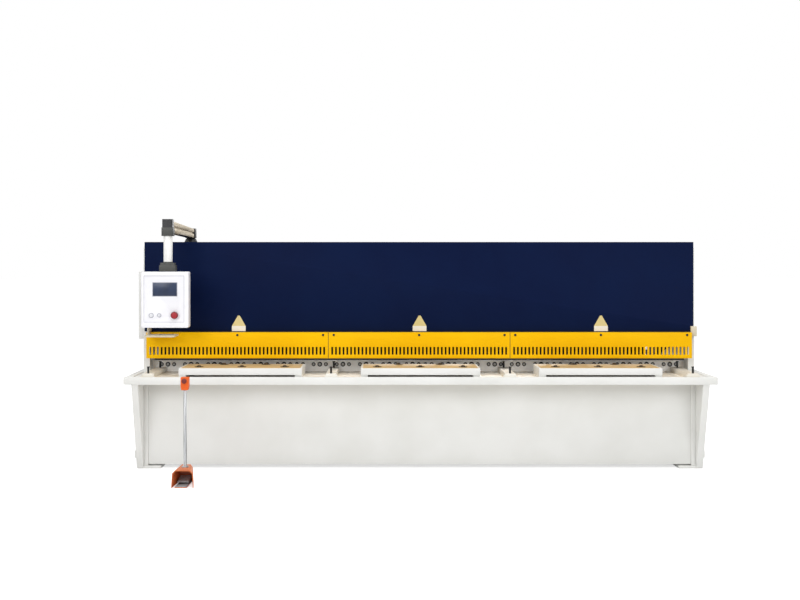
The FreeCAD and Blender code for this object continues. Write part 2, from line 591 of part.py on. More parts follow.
# Support arms with a tab at the front, and the stop pins that stand in them
arms = []
pins = []
outer_arm = f"{frame_inner} - outer_arm_inset"
for name, middle in (("outer_left", f"-({outer_arm})"), ("inner_left", "-inner_arm"),
                     ("inner_right", "inner_arm"), ("outer_right", outer_arm)):
    bar = block(name + "_bar", (f"{middle} - arm_width / 2", f"{middle} + arm_width / 2"),
                ("-apron_front + apron_depth", "-bed_depth"), ("deck_height", arm_top))
    tab = profile(name + "_tab", "XZ_Plane", [
        (f"{middle} - arm_tab_base / 2", "apron_top"), (f"{middle} + arm_tab_base / 2", "apron_top"),
        (f"{middle} + arm_width / 2", arm_top), (f"{middle} - arm_width / 2", arm_top)],
        "apron_front - apron_depth", "arm_tab_proud")
    arms.append(joined(name + "_arm", [bar, tab]))
    pin_steps = [("stop_radius", "0"), ("stop_radius", "arm_drop - stop_head_height"),
                 ("stop_head", "arm_drop - stop_head_height"),
                 ("stop_head", "arm_drop")]
    for row in ("front_stop", "rear_stop"):
        pins.append(lathe(f"{name}_{row}", pin_steps, middle, "-" + row, arm_top))
keep(together("support_arms", arms), together("stop_pins", pins))

# Hold-down bar across the machine and the row of hydraulic hold-downs under it
hold_down_bar = block("hold_down_bar", (f"-({frame_inner})", frame_inner),
                      ("-frame_front", "-clamp_bar_back"),
                      (clamp_bar_bottom, clamp_bar_top))
front_web = block("front_web", (f"-({frame_inner})", frame_inner),
                  ("-frame_front", "-frame_front + web_plate"),
                  (clamp_bar_top, "frame_top"))
keep(joined("front_girder", [hold_down_bar, front_web]))
clamp_outline = [("clamp_foot_radius", "0"), ("clamp_foot_radius", "clamp_stroke"),
                 ("clamp_radius", "clamp_stroke"),
                 ("clamp_radius", "clamp_stroke + clamp_body")]
clamps = []
for index in range(SIZE["clamp_count"]):
    place = f"({2 * index} / (clamp_count - 1) - 1) * ({frame_inner} - clamp_inset)"
    clamps.append(lathe(f"hold_down_{index + 1}", clamp_outline, place, "-clamp_line", clamp_foot))
keep(together("hold_downs", clamps))


def guard_panel(label, left, right):
    """A folded steel panel with a row of viewing slots, a flange at the top and a lip at the bottom."""
    body = profile(label, "YZ_Plane", [
        ("-guard_front", guard_bottom), ("-guard_front + guard_lip", guard_bottom),
        ("-guard_front + guard_lip", guard_bottom + " + guard_plate"),
        ("-guard_front + guard_plate", guard_bottom + " + guard_plate"),
        ("-guard_front + guard_plate", guard_top + " - guard_plate"),
        ("-frame_front", guard_top + " - guard_plate"), ("-frame_front", guard_top),
        ("-guard_front", guard_top)], left, right)
    doc.recompute()
    sketch = sketch_on(body, "XZ_Plane", label + "_slot", "guard_front + 1")
    low = f"({left} + {right}) / 2 - (slot_count - 1) / 2 * slot_pitch - slot_width / 2"
    draw(sketch, [(low, slot_bottom), (low + " + slot_width", slot_bottom),
                  (low + " + slot_width", slot_bottom + " + slot_height"),
                  (low, slot_bottom + " + slot_height")])
    pocket = body.newObject("PartDesign::Pocket", label + "_pocket")
    pocket.Profile = sketch
    pocket.setExpression("Length", formula("guard_plate + 2"))
    row = body.newObject("PartDesign::LinearPattern", label + "_row")
    row.Originals = [pocket]
    row.Direction = (sketch, ["H_Axis"])
    row.setExpression("Length", formula("(slot_count - 1) * slot_pitch"))
    row.setExpression("Occurrences", formula("slot_count"))
    body.Tip = row
    sketch.Visibility = False
    return body


guard_end = "frame_half_width - guard_inset"
keep(together("guard_panels", [
    guard_panel("left_guard", f"-({guard_end})", "-guard_joint - guard_joint_gap"),
    guard_panel("middle_guard", "-guard_joint", "guard_joint"),
    guard_panel("right_guard", "guard_joint + guard_joint_gap", guard_end)]))

# Upper cover: a folded pan across the full width, and the plate that closes the top
cover_end = "frame_half_width - cover_inset"
cover_front = "frame_front + cover_depth"
cover_top = "frame_top + deck_top_plate"
pan = block("cover_pan", (f"-({cover_end})", cover_end), (f"-({cover_front})", "-frame_front"),
            (cover_bottom, cover_top))
hollow = block("cover_hollow", (f"-({cover_end}) + cover_sheet", cover_end + " - cover_sheet"),
               (f"-({cover_front}) + cover_sheet", "-frame_front + 1"),
               (cover_bottom + " + cover_sheet", cover_top + " - cover_sheet"))
cover_pan = cut("cover_shell", pan, hollow)
keep(block("top_plate", (f"-({cover_end})", cover_end), ("-frame_front", "top_rear_reach"),
           ("frame_top", cover_top)))
bracket = block("guard_bracket", (guard_end + " + 1", "frame_half_width + bracket_overhang"),
                (f"-({cover_front}) - bracket_depth", f"-({cover_front})"),
                (cover_bottom + " - bracket_height / 2", cover_bottom + " + bracket_height / 2"))
keep(joined("upper_cover", [cover_pan, bracket]))

# Rear tie beams and the slide that takes the cut pieces to the back
upper_tie = block("upper_tie", (f"-({frame_inner})", frame_inner),
                  ("top_rear_reach - tie_depth", "top_rear_reach"),
                  ("frame_top - tie_height", "frame_top"))
lower_tie = block("lower_tie", (f"-({frame_inner})", frame_inner),
                  ("lower_tie_back", "lower_tie_back + tie_depth"),
                  ("lower_tie_bottom", "lower_tie_bottom + tie_height"))
keep(together("rear_ties", [upper_tie, lower_tie]))
slide_drop = "lower_tie_bottom + tie_height"
keep(profile("rear_slide", "YZ_Plane", [
    ("0", "chute_start - 2 * chute_plate"), ("lower_tie_back", slide_drop),
    ("lower_tie_back + tie_depth", slide_drop),
    ("lower_tie_back + tie_depth", slide_drop + " + chute_plate"),
    ("lower_tie_back", slide_drop + " + chute_plate"), ("0", "chute_start")],
    f"-({frame_inner})", frame_inner))

# Swing beam: a closed welded box with ribs, on two arms that turn on the pivot pins
beam_end = f"{frame_inner} - beam_side_gap"
beam_front = "blade_gap + blade_thickness"
front_low_left = "table_height + blade_lift + 8"
front_low_right = f"{front_low_left} + 2 * ({beam_end}) * tan(rake_angle)"
front_plate = profile("beam_front_plate", "XZ_Plane", [
    (f"-({beam_end})", front_low_left), (beam_end, front_low_right),
    (beam_end, "beam_top"), (f"-({beam_end})", "beam_top")],
    f"-({beam_front}) - beam_plate", f"-({beam_front})")
arm_inner = beam_end + " - beam_arm_plate"
top_flange = block("beam_top_flange", (f"-({beam_end})", beam_end),
                   (beam_front + " + beam_plate", "beam_depth"),
                   ("beam_top - beam_flange", "beam_top"))
floor_flange = block("beam_floor_flange", (f"-({arm_inner})", arm_inner),
                     (beam_front + " + beam_plate", "beam_foot_depth"),
                     ("beam_floor", "beam_floor + beam_flange"))
back_plate = profile("beam_back", "YZ_Plane", [
    ("beam_foot_depth - beam_back_plate", "beam_floor + beam_flange"),
    ("beam_foot_depth", "beam_floor + beam_flange"),
    ("beam_depth", "beam_top - beam_flange"), ("beam_depth - beam_back_plate", "beam_top - beam_flange")],
    f"-({arm_inner})", arm_inner)
ribs = []
for step in range(-SIZE["beam_rib_pairs"], SIZE["beam_rib_pairs"] + 1):
    middle = f"{step} * ({arm_inner} - beam_rib_inset) / beam_rib_pairs"
    ribs.append(profile(f"beam_rib_{len(ribs) + 1}", "YZ_Plane", [
        (beam_front + " + beam_plate", "beam_floor + beam_flange"),
        ("beam_foot_depth - beam_back_plate", "beam_floor + beam_flange"),
        ("beam_depth - beam_back_plate", "beam_top - beam_flange"),
        (beam_front + " + beam_plate", "beam_top - beam_flange")],
        f"{middle} - beam_rib / 2", f"{middle} + beam_rib / 2"))
keep(joined("swing_beam", [front_plate, top_flange, floor_flange, back_plate] + ribs))
arm_blank = profile("arm_blank", "YZ_Plane", [
    (beam_front + " + beam_plate", "pivot_height + 60"), ("pivot_back", "pivot_height - pivot_boss"),
    ("pivot_back + pivot_boss * 0.7", "pivot_height + pivot_boss * 0.7"),
    ("beam_depth", "beam_top - beam_flange"), (beam_front + " + beam_plate", "beam_top - beam_flange")],
    arm_inner, beam_end)
arm_eye = turned("arm_eye", "X", "pivot_boss", "beam_arm_plate", arm_inner, "pivot_back", "pivot_height")
arm_bore = turned("arm_bore", "X", "pivot_radius + pivot_clearance", "3 * beam_arm_plate",
                  arm_inner + " - beam_arm_plate", "pivot_back", "pivot_height")
right_arm = cut("right_beam_arm", joined("arm_with_eye", [arm_blank, arm_eye]), arm_bore)
keep(together("beam_arms", [right_arm, mirrored("left_beam_arm", right_arm)]))
upper_blade = blade("upper_blade", "0", "0", "0")
upper_blade.Placement.Rotation = FreeCAD.Rotation(V(0, 1, 0), -SIZE["rake_angle"])
at(upper_blade, f"-({beam_end}) + 5", "blade_gap", "table_height + blade_lift")
keep(upper_blade)

# Main cylinders hang from seats on the frames and stand on the beam with ball-ended rods
cylinder_offset = f"{frame_inner} - cylinder_inset"
tube = turned("cylinder_tube", "Z", "cylinder_radius", "cylinder_cap - cylinder_bottom",
              cylinder_offset, "cylinder_back", "cylinder_bottom")
cylinder_bore = turned("cylinder_bore", "Z", "piston_radius + 0.5", "cylinder_cap - cylinder_bottom - 60",
                       cylinder_offset, "cylinder_back", "cylinder_bottom - 1")
right_seat = block("right_seat", (cylinder_offset + " - cylinder_radius - 10", frame_inner),
                   ("cylinder_back - cylinder_radius - 10", "cylinder_back + cylinder_radius + 10"),
                   ("cylinder_cap", "frame_top"))
right_cylinder = joined("right_cylinder", [cut("right_tube", tube, cylinder_bore), right_seat])
keep(together("main_cylinders", [right_cylinder, mirrored("left_cylinder", right_cylinder)]))
right_rod = turned("right_rod", "Z", "piston_radius", "cylinder_cap - 80 - beam_top",
                   cylinder_offset, "cylinder_back", "beam_top")
keep(together("piston_rods", [right_rod, mirrored("left_rod", right_rod)]))

# Back gauge under the beam: rails with end bearings, drive screws, and the gauge bar on its carriages
gauge_rails = []
gauge_screws = []
carriages = []
rail_bottom = "beam_floor - gauge_rail_height"
screw_line = rail_bottom + " - gauge_screw_drop"
for name, side in (("left", "-1"), ("right", "1")):
    middle = f"{side} * gauge_rail_half_gap"
    screw = turned(name + "_gauge_screw", "Y", "gauge_screw_radius", "gauge_rail_end - beam_foot_depth",
                   middle, "beam_foot_depth", screw_line)
    rail = block(name + "_rail_bar",
                 (f"{middle} - gauge_rail_width / 2", f"{middle} + gauge_rail_width / 2"),
                 (beam_front + " + beam_plate", "gauge_rail_end"), (rail_bottom, "beam_floor"))
    bearings = [block(f"{name}_{end}_bearing", (f"{middle} - gauge_bearing", f"{middle} + gauge_bearing"),
                      (start, start + " + gauge_bearing"), (screw_line + " - gauge_bearing", rail_bottom))
                for end, start in (("front", "beam_foot_depth"), ("rear", "gauge_rail_end - gauge_bearing"))]
    gauge_rails.append(cut(name + "_gauge_rail", joined(name + "_rail_with_bearings", [rail] + bearings),
                           screw))
    carriage = block(name + "_carriage", (f"{middle} - gauge_rail_width", f"{middle} + gauge_rail_width"),
                     ("gauge_bar_back + gauge_bar_plate", "gauge_bar_back + gauge_carriage"),
                     ("gauge_bar_bottom + gauge_carriage_lift", rail_bottom))
    carriages.append(cut(name + "_bored_carriage", carriage, screw))
    gauge_screws.append(screw)
keep(together("gauge_rails", gauge_rails), together("gauge_screws", gauge_screws))
bar = block("gauge_plate", (f"-({frame_inner}) + gauge_inset", frame_inner + " - gauge_inset"),
            ("gauge_bar_back", "gauge_bar_back + gauge_bar_plate"),
            ("gauge_bar_bottom", "gauge_bar_bottom + gauge_bar_height"))
keep(joined("gauge_bar", [bar] + carriages))

# Hydraulic unit on the rear tie: tank, pump motor and valve block
tank_front = "top_rear_reach"
keep(rounded_profile("oil_tank", "XY_Plane", ("tank_left", tank_front),
                     ("tank_right", tank_front + " + tank_depth"),
                     "tank_corner", "tank_bottom", "tank_bottom + tank_height"))
motor_y = tank_front + " + tank_depth / 2"
motor_z = "tank_bottom + tank_height / 2"
keep(turned("pump_motor", "X", "motor_radius", "motor_length", "tank_right", motor_y, motor_z))
keep(block("valve_block", ("tank_left - valve_width", "tank_left"),
           (tank_front, tank_front + " + valve_depth"),
           (motor_z + " - valve_height / 2", motor_z + " + valve_height / 2")))

# Tool shelf on the left end of the guard and the flat cabinet on the left frame
shelf_left = "-frame_half_width + shelf_inset"
shelf_plate = block("shelf_plate_piece", (shelf_left, shelf_left + " + shelf_length"),
                    ("-shelf_reach", "-guard_front"), (shelf_top + " - shelf_plate", shelf_top))
shelf_bracket = block("shelf_bracket_piece", (shelf_left, shelf_left + " + shelf_bracket"),
                      ("-guard_front - shelf_bracket_depth", "-guard_front"),
                      (shelf_top + " - shelf_plate", cover_bottom + " + shelf_bracket_height"))
shelf_hook = block("shelf_hook_piece", (shelf_left, shelf_left + " + shelf_bracket"),
                   ("-guard_front", f"-({cover_front})"),
                   (cover_bottom, cover_bottom + " + shelf_bracket_height"))
keep(joined("tool_shelf", [shelf_plate, shelf_bracket, shelf_hook]))
keep(block("side_cabinet", ("-frame_half_width - cabinet_width", "-frame_half_width"),
           ("-cabinet_front", "cabinet_back"), ("cabinet_bottom", "cabinet_top")))

# Boom: conical foot on the top plate, the arm that falls towards its hub, and the elbow in two layers
boom_x = "-frame_half_width + boom_inset"
boom_foot_outline = [
    ("boom_foot_radius", "0"), ("boom_foot_radius", "boom_foot_rim"),
    ("boom_post_radius + 6", "boom_foot_height"),
    ("boom_post_radius", "boom_foot_height"),
    ("boom_post_radius", "boom_hub_bottom - frame_top - deck_top_plate - boom_running_gap")]
keep(lathe("boom_foot", boom_foot_outline, boom_x, "boom_back", cover_top))
rear_end = "boom_back - boom_hub_half + 5"
front_end = "-drop_front + elbow_half_depth - 5"
arm_bar = profile("boom_profile", "YZ_Plane", [
    (front_end, "arm_front_bottom"), (rear_end, "arm_rear_bottom"),
    (rear_end, "arm_rear_bottom + arm_rear_height"), (front_end, "arm_front_bottom + arm_front_height")],
    boom_x + " - boom_arm_width / 2", boom_x + " + boom_arm_width / 2")
rear_middle = "arm_rear_bottom + arm_rear_height / 2"
front_middle = "arm_front_bottom + arm_front_height / 2"
grooves = []
for name, low, high in (("left", " - boom_arm_width / 2 - 1", " - boom_arm_width / 2 + boom_groove_depth"),
                        ("right", " + boom_arm_width / 2 - boom_groove_depth", " + boom_arm_width / 2 + 1")):
    grooves.append(profile(name + "_boom_groove", "YZ_Plane", [
        ("-drop_front", front_middle + " - boom_groove / 2"),
        ("boom_back", rear_middle + " - boom_groove / 2"),
        ("boom_back", rear_middle + " + boom_groove / 2"),
        ("-drop_front", front_middle + " + boom_groove / 2")],
        boom_x + low, boom_x + high))
arm_hub = rounded_profile("boom_hub", "XY_Plane", (boom_x + " - boom_hub_half", "boom_back - boom_hub_half"),
                          (boom_x + " + boom_hub_half", "boom_back + boom_hub_half"), "2 * elbow_corner",
                          "boom_hub_bottom", "boom_hub_bottom + boom_hub_height")
keep(joined("boom_arm", [cut("grooved_boom", arm_bar, joined("boom_grooves", grooves)), arm_hub]))
elbow_lower = rounded_profile("elbow_lower", "XY_Plane",
                              (boom_x + " - elbow_half", "-drop_front - elbow_half_depth"),
                              (boom_x + " + elbow_half", "-drop_front + elbow_half_depth"), "elbow_corner",
                              "elbow_bottom", "elbow_seam")
elbow_upper = rounded_profile("elbow_upper", "XY_Plane",
                              (boom_x + " - elbow_top_half", "-drop_front - elbow_half_depth + 4"),
                              (boom_x + " + elbow_top_half", "-drop_front + elbow_half_depth - 4"),
                              "elbow_corner",
                              "elbow_seam", "elbow_top")
elbow = joined("elbow_layers", [elbow_lower, elbow_upper])
keep(cut("boom_elbow", elbow, arm_bar))
keep(turned("drop_tube", "Z", "drop_tube_radius", "elbow_bottom - coupling_top - boom_running_gap",
            boom_x, "-drop_front", "coupling_top + boom_running_gap"))

# Pendant: flat casing under its stepped coupling, with screen and buttons
coupling_layers = []
for name, inset, low, high in (
    ("flange", "0", "pendant_top", "pendant_top + coupling_flange"),
    ("layer", "coupling_step", "pendant_top + coupling_flange",
     "pendant_top + coupling_flange + coupling_layer"),
):
    coupling_layers.append(rounded_profile("coupling_" + name, "XY_Plane",
        (f"{boom_x} - coupling_half + {inset}", f"-drop_front - coupling_half_depth + {inset}"),
        (f"{boom_x} + coupling_half - {inset}", f"-drop_front + coupling_half_depth - {inset}"),
        "coupling_corner", low, high))
collar_foot = "pendant_top + coupling_flange"
coupling_layers.append(turned("coupling_collar_piece", "Z", "coupling_collar",
                              f"coupling_top - ({collar_foot})", boom_x, "-drop_front", collar_foot))
keep(joined("pendant_coupling", coupling_layers))
pendant_x = boom_x + " - pendant_shift"
pendant_face = "drop_front + pendant_depth / 2"
casing = rounded_profile("casing_blank", "XZ_Plane", (pendant_x + " - pendant_half", "pendant_bottom"),
                         (pendant_x + " + pendant_half", "pendant_top"), "pendant_corner",
                         "drop_front - pendant_depth / 2", pendant_face)
recess = block("pendant_recess",
               (pendant_x + " - pendant_half + panel_left_rim",
                pendant_x + " + pendant_half - panel_right_rim"),
               (f"-({pendant_face}) - 1", f"-({pendant_face}) + panel_recess"),
               ("pendant_bottom + panel_lower_rim", "pendant_top - panel_upper_rim"))
stop_x = pendant_x + " + stop_button_right"
stop_socket = turned("stop_socket", "Y", "stop_stem_radius + button_clearance", "45", stop_x,
                     f"-({pendant_face}) - 5", "stop_button_z")
panel_y = f"-({pendant_face}) + panel_recess"
keep(block("pendant_screen", (pendant_x + " - screen_half", pendant_x + " + screen_half"),
           (panel_y + " - screen_plate", panel_y), ("screen_bottom", "screen_top")))
buttons = (("left", pendant_x + " - key_button_left", "ring_left_radius"),
           ("right", pendant_x + " - start_button_left", "ring_right_radius"))
rings = []
for name, x, radius in buttons:
    outer = turned(name + "_ring_outer", "Y", radius, "ring_height", x, panel_y + " - ring_height",
                   "ring_button_z")
    inner = turned(name + "_ring_inner", "Y", radius + " - button_wall + button_clearance",
                   "2 * ring_height",
                   x, panel_y + " - 1.5 * ring_height", "ring_button_z")
    rings.append(cut(name + "_ring", outer, inner))
    keep(turned(name + "_push_button", "Y", radius + " - button_wall",
                "ring_height + 1 - button_travel - button_clearance", x, panel_y + " - ring_height - 1",
                "ring_button_z"))
keep(joined("pendant_casing", [cut("casing_shell", casing, joined("pendant_cuts",
                                                                  [recess, stop_socket]))] + rings))
stop_outline = [("stop_stem_radius", "-25"), ("stop_stem_radius", "stop_travel + 1"),
                ("stop_button_radius - 3", "stop_travel + 1"), ("stop_button_radius", "stop_travel + 7"),
                ("stop_button_radius", "stop_travel + 17"), ("stop_button_radius - 6", "stop_travel + 22")]
pendant_stop = lathe("pendant_stop", stop_outline, stop_x, panel_y, "stop_button_z")
pendant_stop.Placement.Rotation = FreeCAD.Rotation(V(1, 0, 0), 90)
keep(pendant_stop)


def tapered(label, wall, front, rear):
    """The hood's form between two places along Y, made smaller all round by a wall thickness."""
    body = new("PartDesign::Body", label)
    sketches = []
    for name, place, middle, half, shoulder in (
        ("front", front, "-pedal_offset", "pedal_foot_half", "hood_front_shoulder"),
        ("rear", rear, "-pedal_rear_offset", "pedal_rear_half", "hood_rear_shoulder"),
    ):
        sketch = sketch_on(body, "XZ_Plane", f"{label}_{name}", place)
        outline = [(half, "0"), (half + " - hood_lean", "pedal_height - hood_shoulder"),
                   (f"{half} - hood_lean - {shoulder}", "pedal_height")]
        draw(sketch, [(f"{middle} + {across} - {wall}", up if up == "0" else f"{up} - {wall}") for across,
                      up in outline]
             + [(f"{middle} - ({across} - {wall})", up if up == "0" else f"{up} - {wall}")
                for across, up in reversed(outline)])
        sketch.Visibility = False
        sketches.append(sketch)
    loft = body.newObject("PartDesign::AdditiveLoft", label + "_loft")
    loft.Profile = sketches[0]
    loft.Sections = [sketches[1]]
    loft.Ruled = True
    return body


# Foot switch: base with its front lip, tapered open hood, treadle, pole and stop box
hood_outer = tapered("hood_outer", "0", "pedal_front", "pedal_back")
hood_inner = tapered("hood_inner", "pedal_wall", "pedal_front + 1", "pedal_back + pedal_wall")
pedal_base = block("pedal_base_plate",
                   ("-treadle_middle - treadle_width / 2 - 2", "-treadle_middle + treadle_width / 2 + 2"),
                   ("-pedal_front", "-pedal_back - pedal_wall / 2"), ("0", "pedal_base"))
treadle_pin = turned("treadle_pin", "X", "treadle_pin_radius", "treadle_width + 14",
                     "-treadle_middle - treadle_width / 2 - 7", "-treadle_hinge_back",
                     "treadle_hinge_height")
hood_shell = cut("hood_shell", hood_outer, hood_inner)
keep(joined("pedal_hood", [hood_shell, pedal_base, treadle_pin]))
treadle_plate = block("treadle_blank", ("-treadle_width / 2", "treadle_width / 2"), ("-treadle_length", "0"),
                      ("-treadle_plate / 2", "treadle_plate / 2"))
treadle_barrel = turned("treadle_barrel_piece", "X", "treadle_barrel", "treadle_width",
                        "-treadle_width / 2", "0", "0")
treadle_bore = turned("treadle_bore", "X", "treadle_pin_radius + button_clearance", "2 * treadle_width",
                      "-treadle_width", "0", "0")
treadle = cut("treadle", joined("treadle_with_barrel", [treadle_plate, treadle_barrel]), treadle_bore)
treadle.Placement.Rotation = FreeCAD.Rotation(V(1, 0, 0), SIZE["treadle_slope"])
keep(at(treadle, "-treadle_middle", "-treadle_hinge_back", "treadle_hinge_height"))
pole_outline = [("pole_flange", "0"), ("pole_flange", "pole_flange_height"),
                ("pole_radius", "pole_flange_height"),
                ("pole_radius", "stop_box_bottom - pedal_height")]
keep(lathe("pedal_pole", pole_outline, "-pole_x", "-pole_front", "pedal_height"))
stop_box = profile("stop_box_blank", "XZ_Plane", [
    ("-pole_x - stop_box_foot / 2", "stop_box_bottom"), ("-pole_x + stop_box_foot / 2", "stop_box_bottom"),
    ("-pole_x + stop_box_width / 2", "stop_box_bottom + stop_box_taper"),
    ("-pole_x + stop_box_width / 2", "stop_box_top"), ("-pole_x - stop_box_width / 2", "stop_box_top"),
    ("-pole_x - stop_box_width / 2", "stop_box_bottom + stop_box_taper")],
    "pole_front - stop_box_depth / 2", "pole_front + stop_box_depth / 2")
box_face = "-pole_front - stop_box_depth / 2"
box_socket = turned("box_socket", "Y", "pedal_stem_radius + button_clearance", "35", "-pole_x",
                    box_face + " - 5",
                    "pedal_stop_z")
keep(cut("stop_box", stop_box, box_socket))
small_outline = [("pedal_stem_radius", "-18"), ("pedal_stem_radius", "stop_travel + 1"),
                 ("pedal_stop_radius - 2", "stop_travel + 1"), ("pedal_stop_radius", "stop_travel + 5"),
                 ("pedal_stop_radius", "stop_travel + 13"), ("pedal_stop_radius - 5", "stop_travel + 17")]
pedal_stop = lathe("pedal_stop", small_outline, "-pole_x", box_face, "pedal_stop_z")
pedal_stop.Placement.Rotation = FreeCAD.Rotation(V(1, 0, 0), 90)
keep(pedal_stop)

doc.recompute()
for piece in doc.Objects:
    if "Invalid" in piece.State or "Error" in piece.State:
        raise RuntimeError(f"{piece.Label} did not recompute: {piece.State}")
for piece in PARTS:
    if piece.Shape.isNull() or not piece.Shape.isValid() or not piece.Shape.Solids:
        raise RuntimeError(f"{piece.Label} has no valid shape")
os.makedirs("parts", exist_ok=True)
for piece in PARTS:
    piece.Shape.exportStep(f"parts/{piece.Label}.step")
print(len(PARTS), "sub-parts written")
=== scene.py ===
import math
import bpy
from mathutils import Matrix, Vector


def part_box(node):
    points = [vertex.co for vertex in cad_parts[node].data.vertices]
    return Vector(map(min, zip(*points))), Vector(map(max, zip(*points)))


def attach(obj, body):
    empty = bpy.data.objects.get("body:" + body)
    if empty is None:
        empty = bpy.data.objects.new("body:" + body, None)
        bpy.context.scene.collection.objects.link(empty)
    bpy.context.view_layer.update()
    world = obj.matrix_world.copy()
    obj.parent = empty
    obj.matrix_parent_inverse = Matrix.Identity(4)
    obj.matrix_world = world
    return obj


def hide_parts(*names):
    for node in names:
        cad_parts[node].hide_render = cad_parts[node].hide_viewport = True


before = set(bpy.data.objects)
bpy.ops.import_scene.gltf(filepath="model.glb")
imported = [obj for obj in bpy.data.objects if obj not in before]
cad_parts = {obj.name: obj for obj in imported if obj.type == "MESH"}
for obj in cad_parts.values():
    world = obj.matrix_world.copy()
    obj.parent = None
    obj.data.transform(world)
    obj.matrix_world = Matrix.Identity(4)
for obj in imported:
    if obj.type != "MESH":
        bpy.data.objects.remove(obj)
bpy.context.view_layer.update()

# Viewpoint and studio
# The photograph is taken level and square to the machine, from about eight metres in front of its blade.
# A white floor runs on into a white background, and large soft lamps stand in front, above and behind.
PHOTO_WIDTH, PHOTO_HEIGHT = 800, 600
FOCAL_PIXELS = 1088.7
AXIS_X, HORIZON_Y = 385, 260
SENSOR_WIDTH = 36
camera_data = bpy.data.cameras.new("camera")
camera = bpy.data.objects.new("camera", camera_data)
bpy.context.scene.collection.objects.link(camera)
camera.location = (-0.262, -8.58, 1.57)
camera.rotation_euler = (math.radians(90), 0, 0)
camera_data.sensor_width = SENSOR_WIDTH
camera_data.lens = SENSOR_WIDTH * FOCAL_PIXELS / PHOTO_WIDTH
camera_data.shift_x = (PHOTO_WIDTH / 2 - AXIS_X) / PHOTO_WIDTH
camera_data.shift_y = (HORIZON_Y - PHOTO_HEIGHT / 2) / PHOTO_WIDTH
camera_data.clip_end = 200
bpy.context.scene.camera = camera
bpy.context.scene.view_settings.view_transform = "Standard"


def linear(colour):
    """A colour written as sRGB hex, turned to linear light."""
    parts = [int(colour[i:i + 2], 16) / 255 for i in (1, 3, 5)]
    return tuple(c / 12.92 if c <= 0.04045 else ((c + 0.055) / 1.055) ** 2.4 for c in parts) + (1,)


def node(owner, kind, settings, sockets):
    """Adds a node; each socket is given a value, or the output of another node to read."""
    made = owner.node_tree.nodes.new(kind)
    for name, value in settings.items():
        setattr(made, name, value)
    for name, value in sockets.items():
        if isinstance(value, bpy.types.NodeSocket):
            owner.node_tree.links.new(value, made.inputs[name])
        else:
            made.inputs[name].default_value = value
    return made


# the background is full white where it is seen directly, in a mirror or through glass, and dimmer as a light
AMBIENT_LEVEL = 0.52
world = bpy.data.worlds.new("studio")
world.use_nodes = True
world.node_tree.nodes.clear()
bpy.context.scene.world = world
rays = node(world, "ShaderNodeLightPath", {}, {})
direct = node(world, "ShaderNodeMath", {"operation": "MAXIMUM"},
              {0: rays.outputs["Is Camera Ray"], 1: rays.outputs["Is Glossy Ray"]})
direct = node(world, "ShaderNodeMath", {"operation": "MAXIMUM"},
              {0: direct.outputs[0], 1: rays.outputs["Is Transmission Ray"]})
level = node(world, "ShaderNodeMapRange", {}, {"Value": direct.outputs[0], "To Min": AMBIENT_LEVEL, "To Max": 1.0})
sky = node(world, "ShaderNodeBackground", {}, {"Color": linear("#ffffff"), "Strength": level.outputs[0]})
node(world, "ShaderNodeOutputWorld", {}, {"Surface": sky.outputs[0]})

# the floor's paper is lifted a little for the camera only, so that it meets the white background and keeps a shadow
FLOOR_LIFT, FLOOR_SIZE, FLOOR_DROP = 0.56, 120, 0.0005
studio_white = bpy.data.materials.new("studio_floor_paper")
studio_white.use_nodes = True
studio_white.node_tree.nodes.clear()
rays = node(studio_white, "ShaderNodeLightPath", {}, {})
lift = node(studio_white, "ShaderNodeMath", {"operation": "MULTIPLY"},
            {0: rays.outputs["Is Camera Ray"], 1: FLOOR_LIFT})
paper = node(studio_white, "ShaderNodeBsdfDiffuse", {}, {"Color": linear("#f2f2f2")})
glow = node(studio_white, "ShaderNodeEmission", {}, {"Strength": lift.outputs[0]})
both = node(studio_white, "ShaderNodeAddShader", {}, {0: paper.outputs[0], 1: glow.outputs[0]})
node(studio_white, "ShaderNodeOutputMaterial", {}, {"Surface": both.outputs[0]})
bpy.ops.mesh.primitive_plane_add(size=FLOOR_SIZE, location=(0, 20, -FLOOR_DROP))
floor = bpy.context.object
floor.name = "studio_floor"
floor.data.materials.append(studio_white)

LAMP_TARGET = Vector((0, 0, 0.9))
for name, place, size, power in (
    ("lamp_front_left", (-5.0, -8.5, 5.0), 4.5, 245),
    ("lamp_front_right", (5.5, -8.0, 4.6), 4.5, 185),
    ("lamp_above", (0, -1.0, 7.0), 6.0, 240),
    ("lamp_behind", (0, 8.0, 4.5), 5.0, 215),
):
    lamp_data = bpy.data.lights.new(name, "AREA")
    lamp_data.size = size
    lamp_data.energy = power
    lamp = bpy.data.objects.new(name, lamp_data)
    bpy.context.scene.collection.objects.link(lamp)
    lamp.location = place
    lamp.rotation_euler = (LAMP_TARGET - Vector(place)).to_track_quat("-Z", "Y").to_euler()


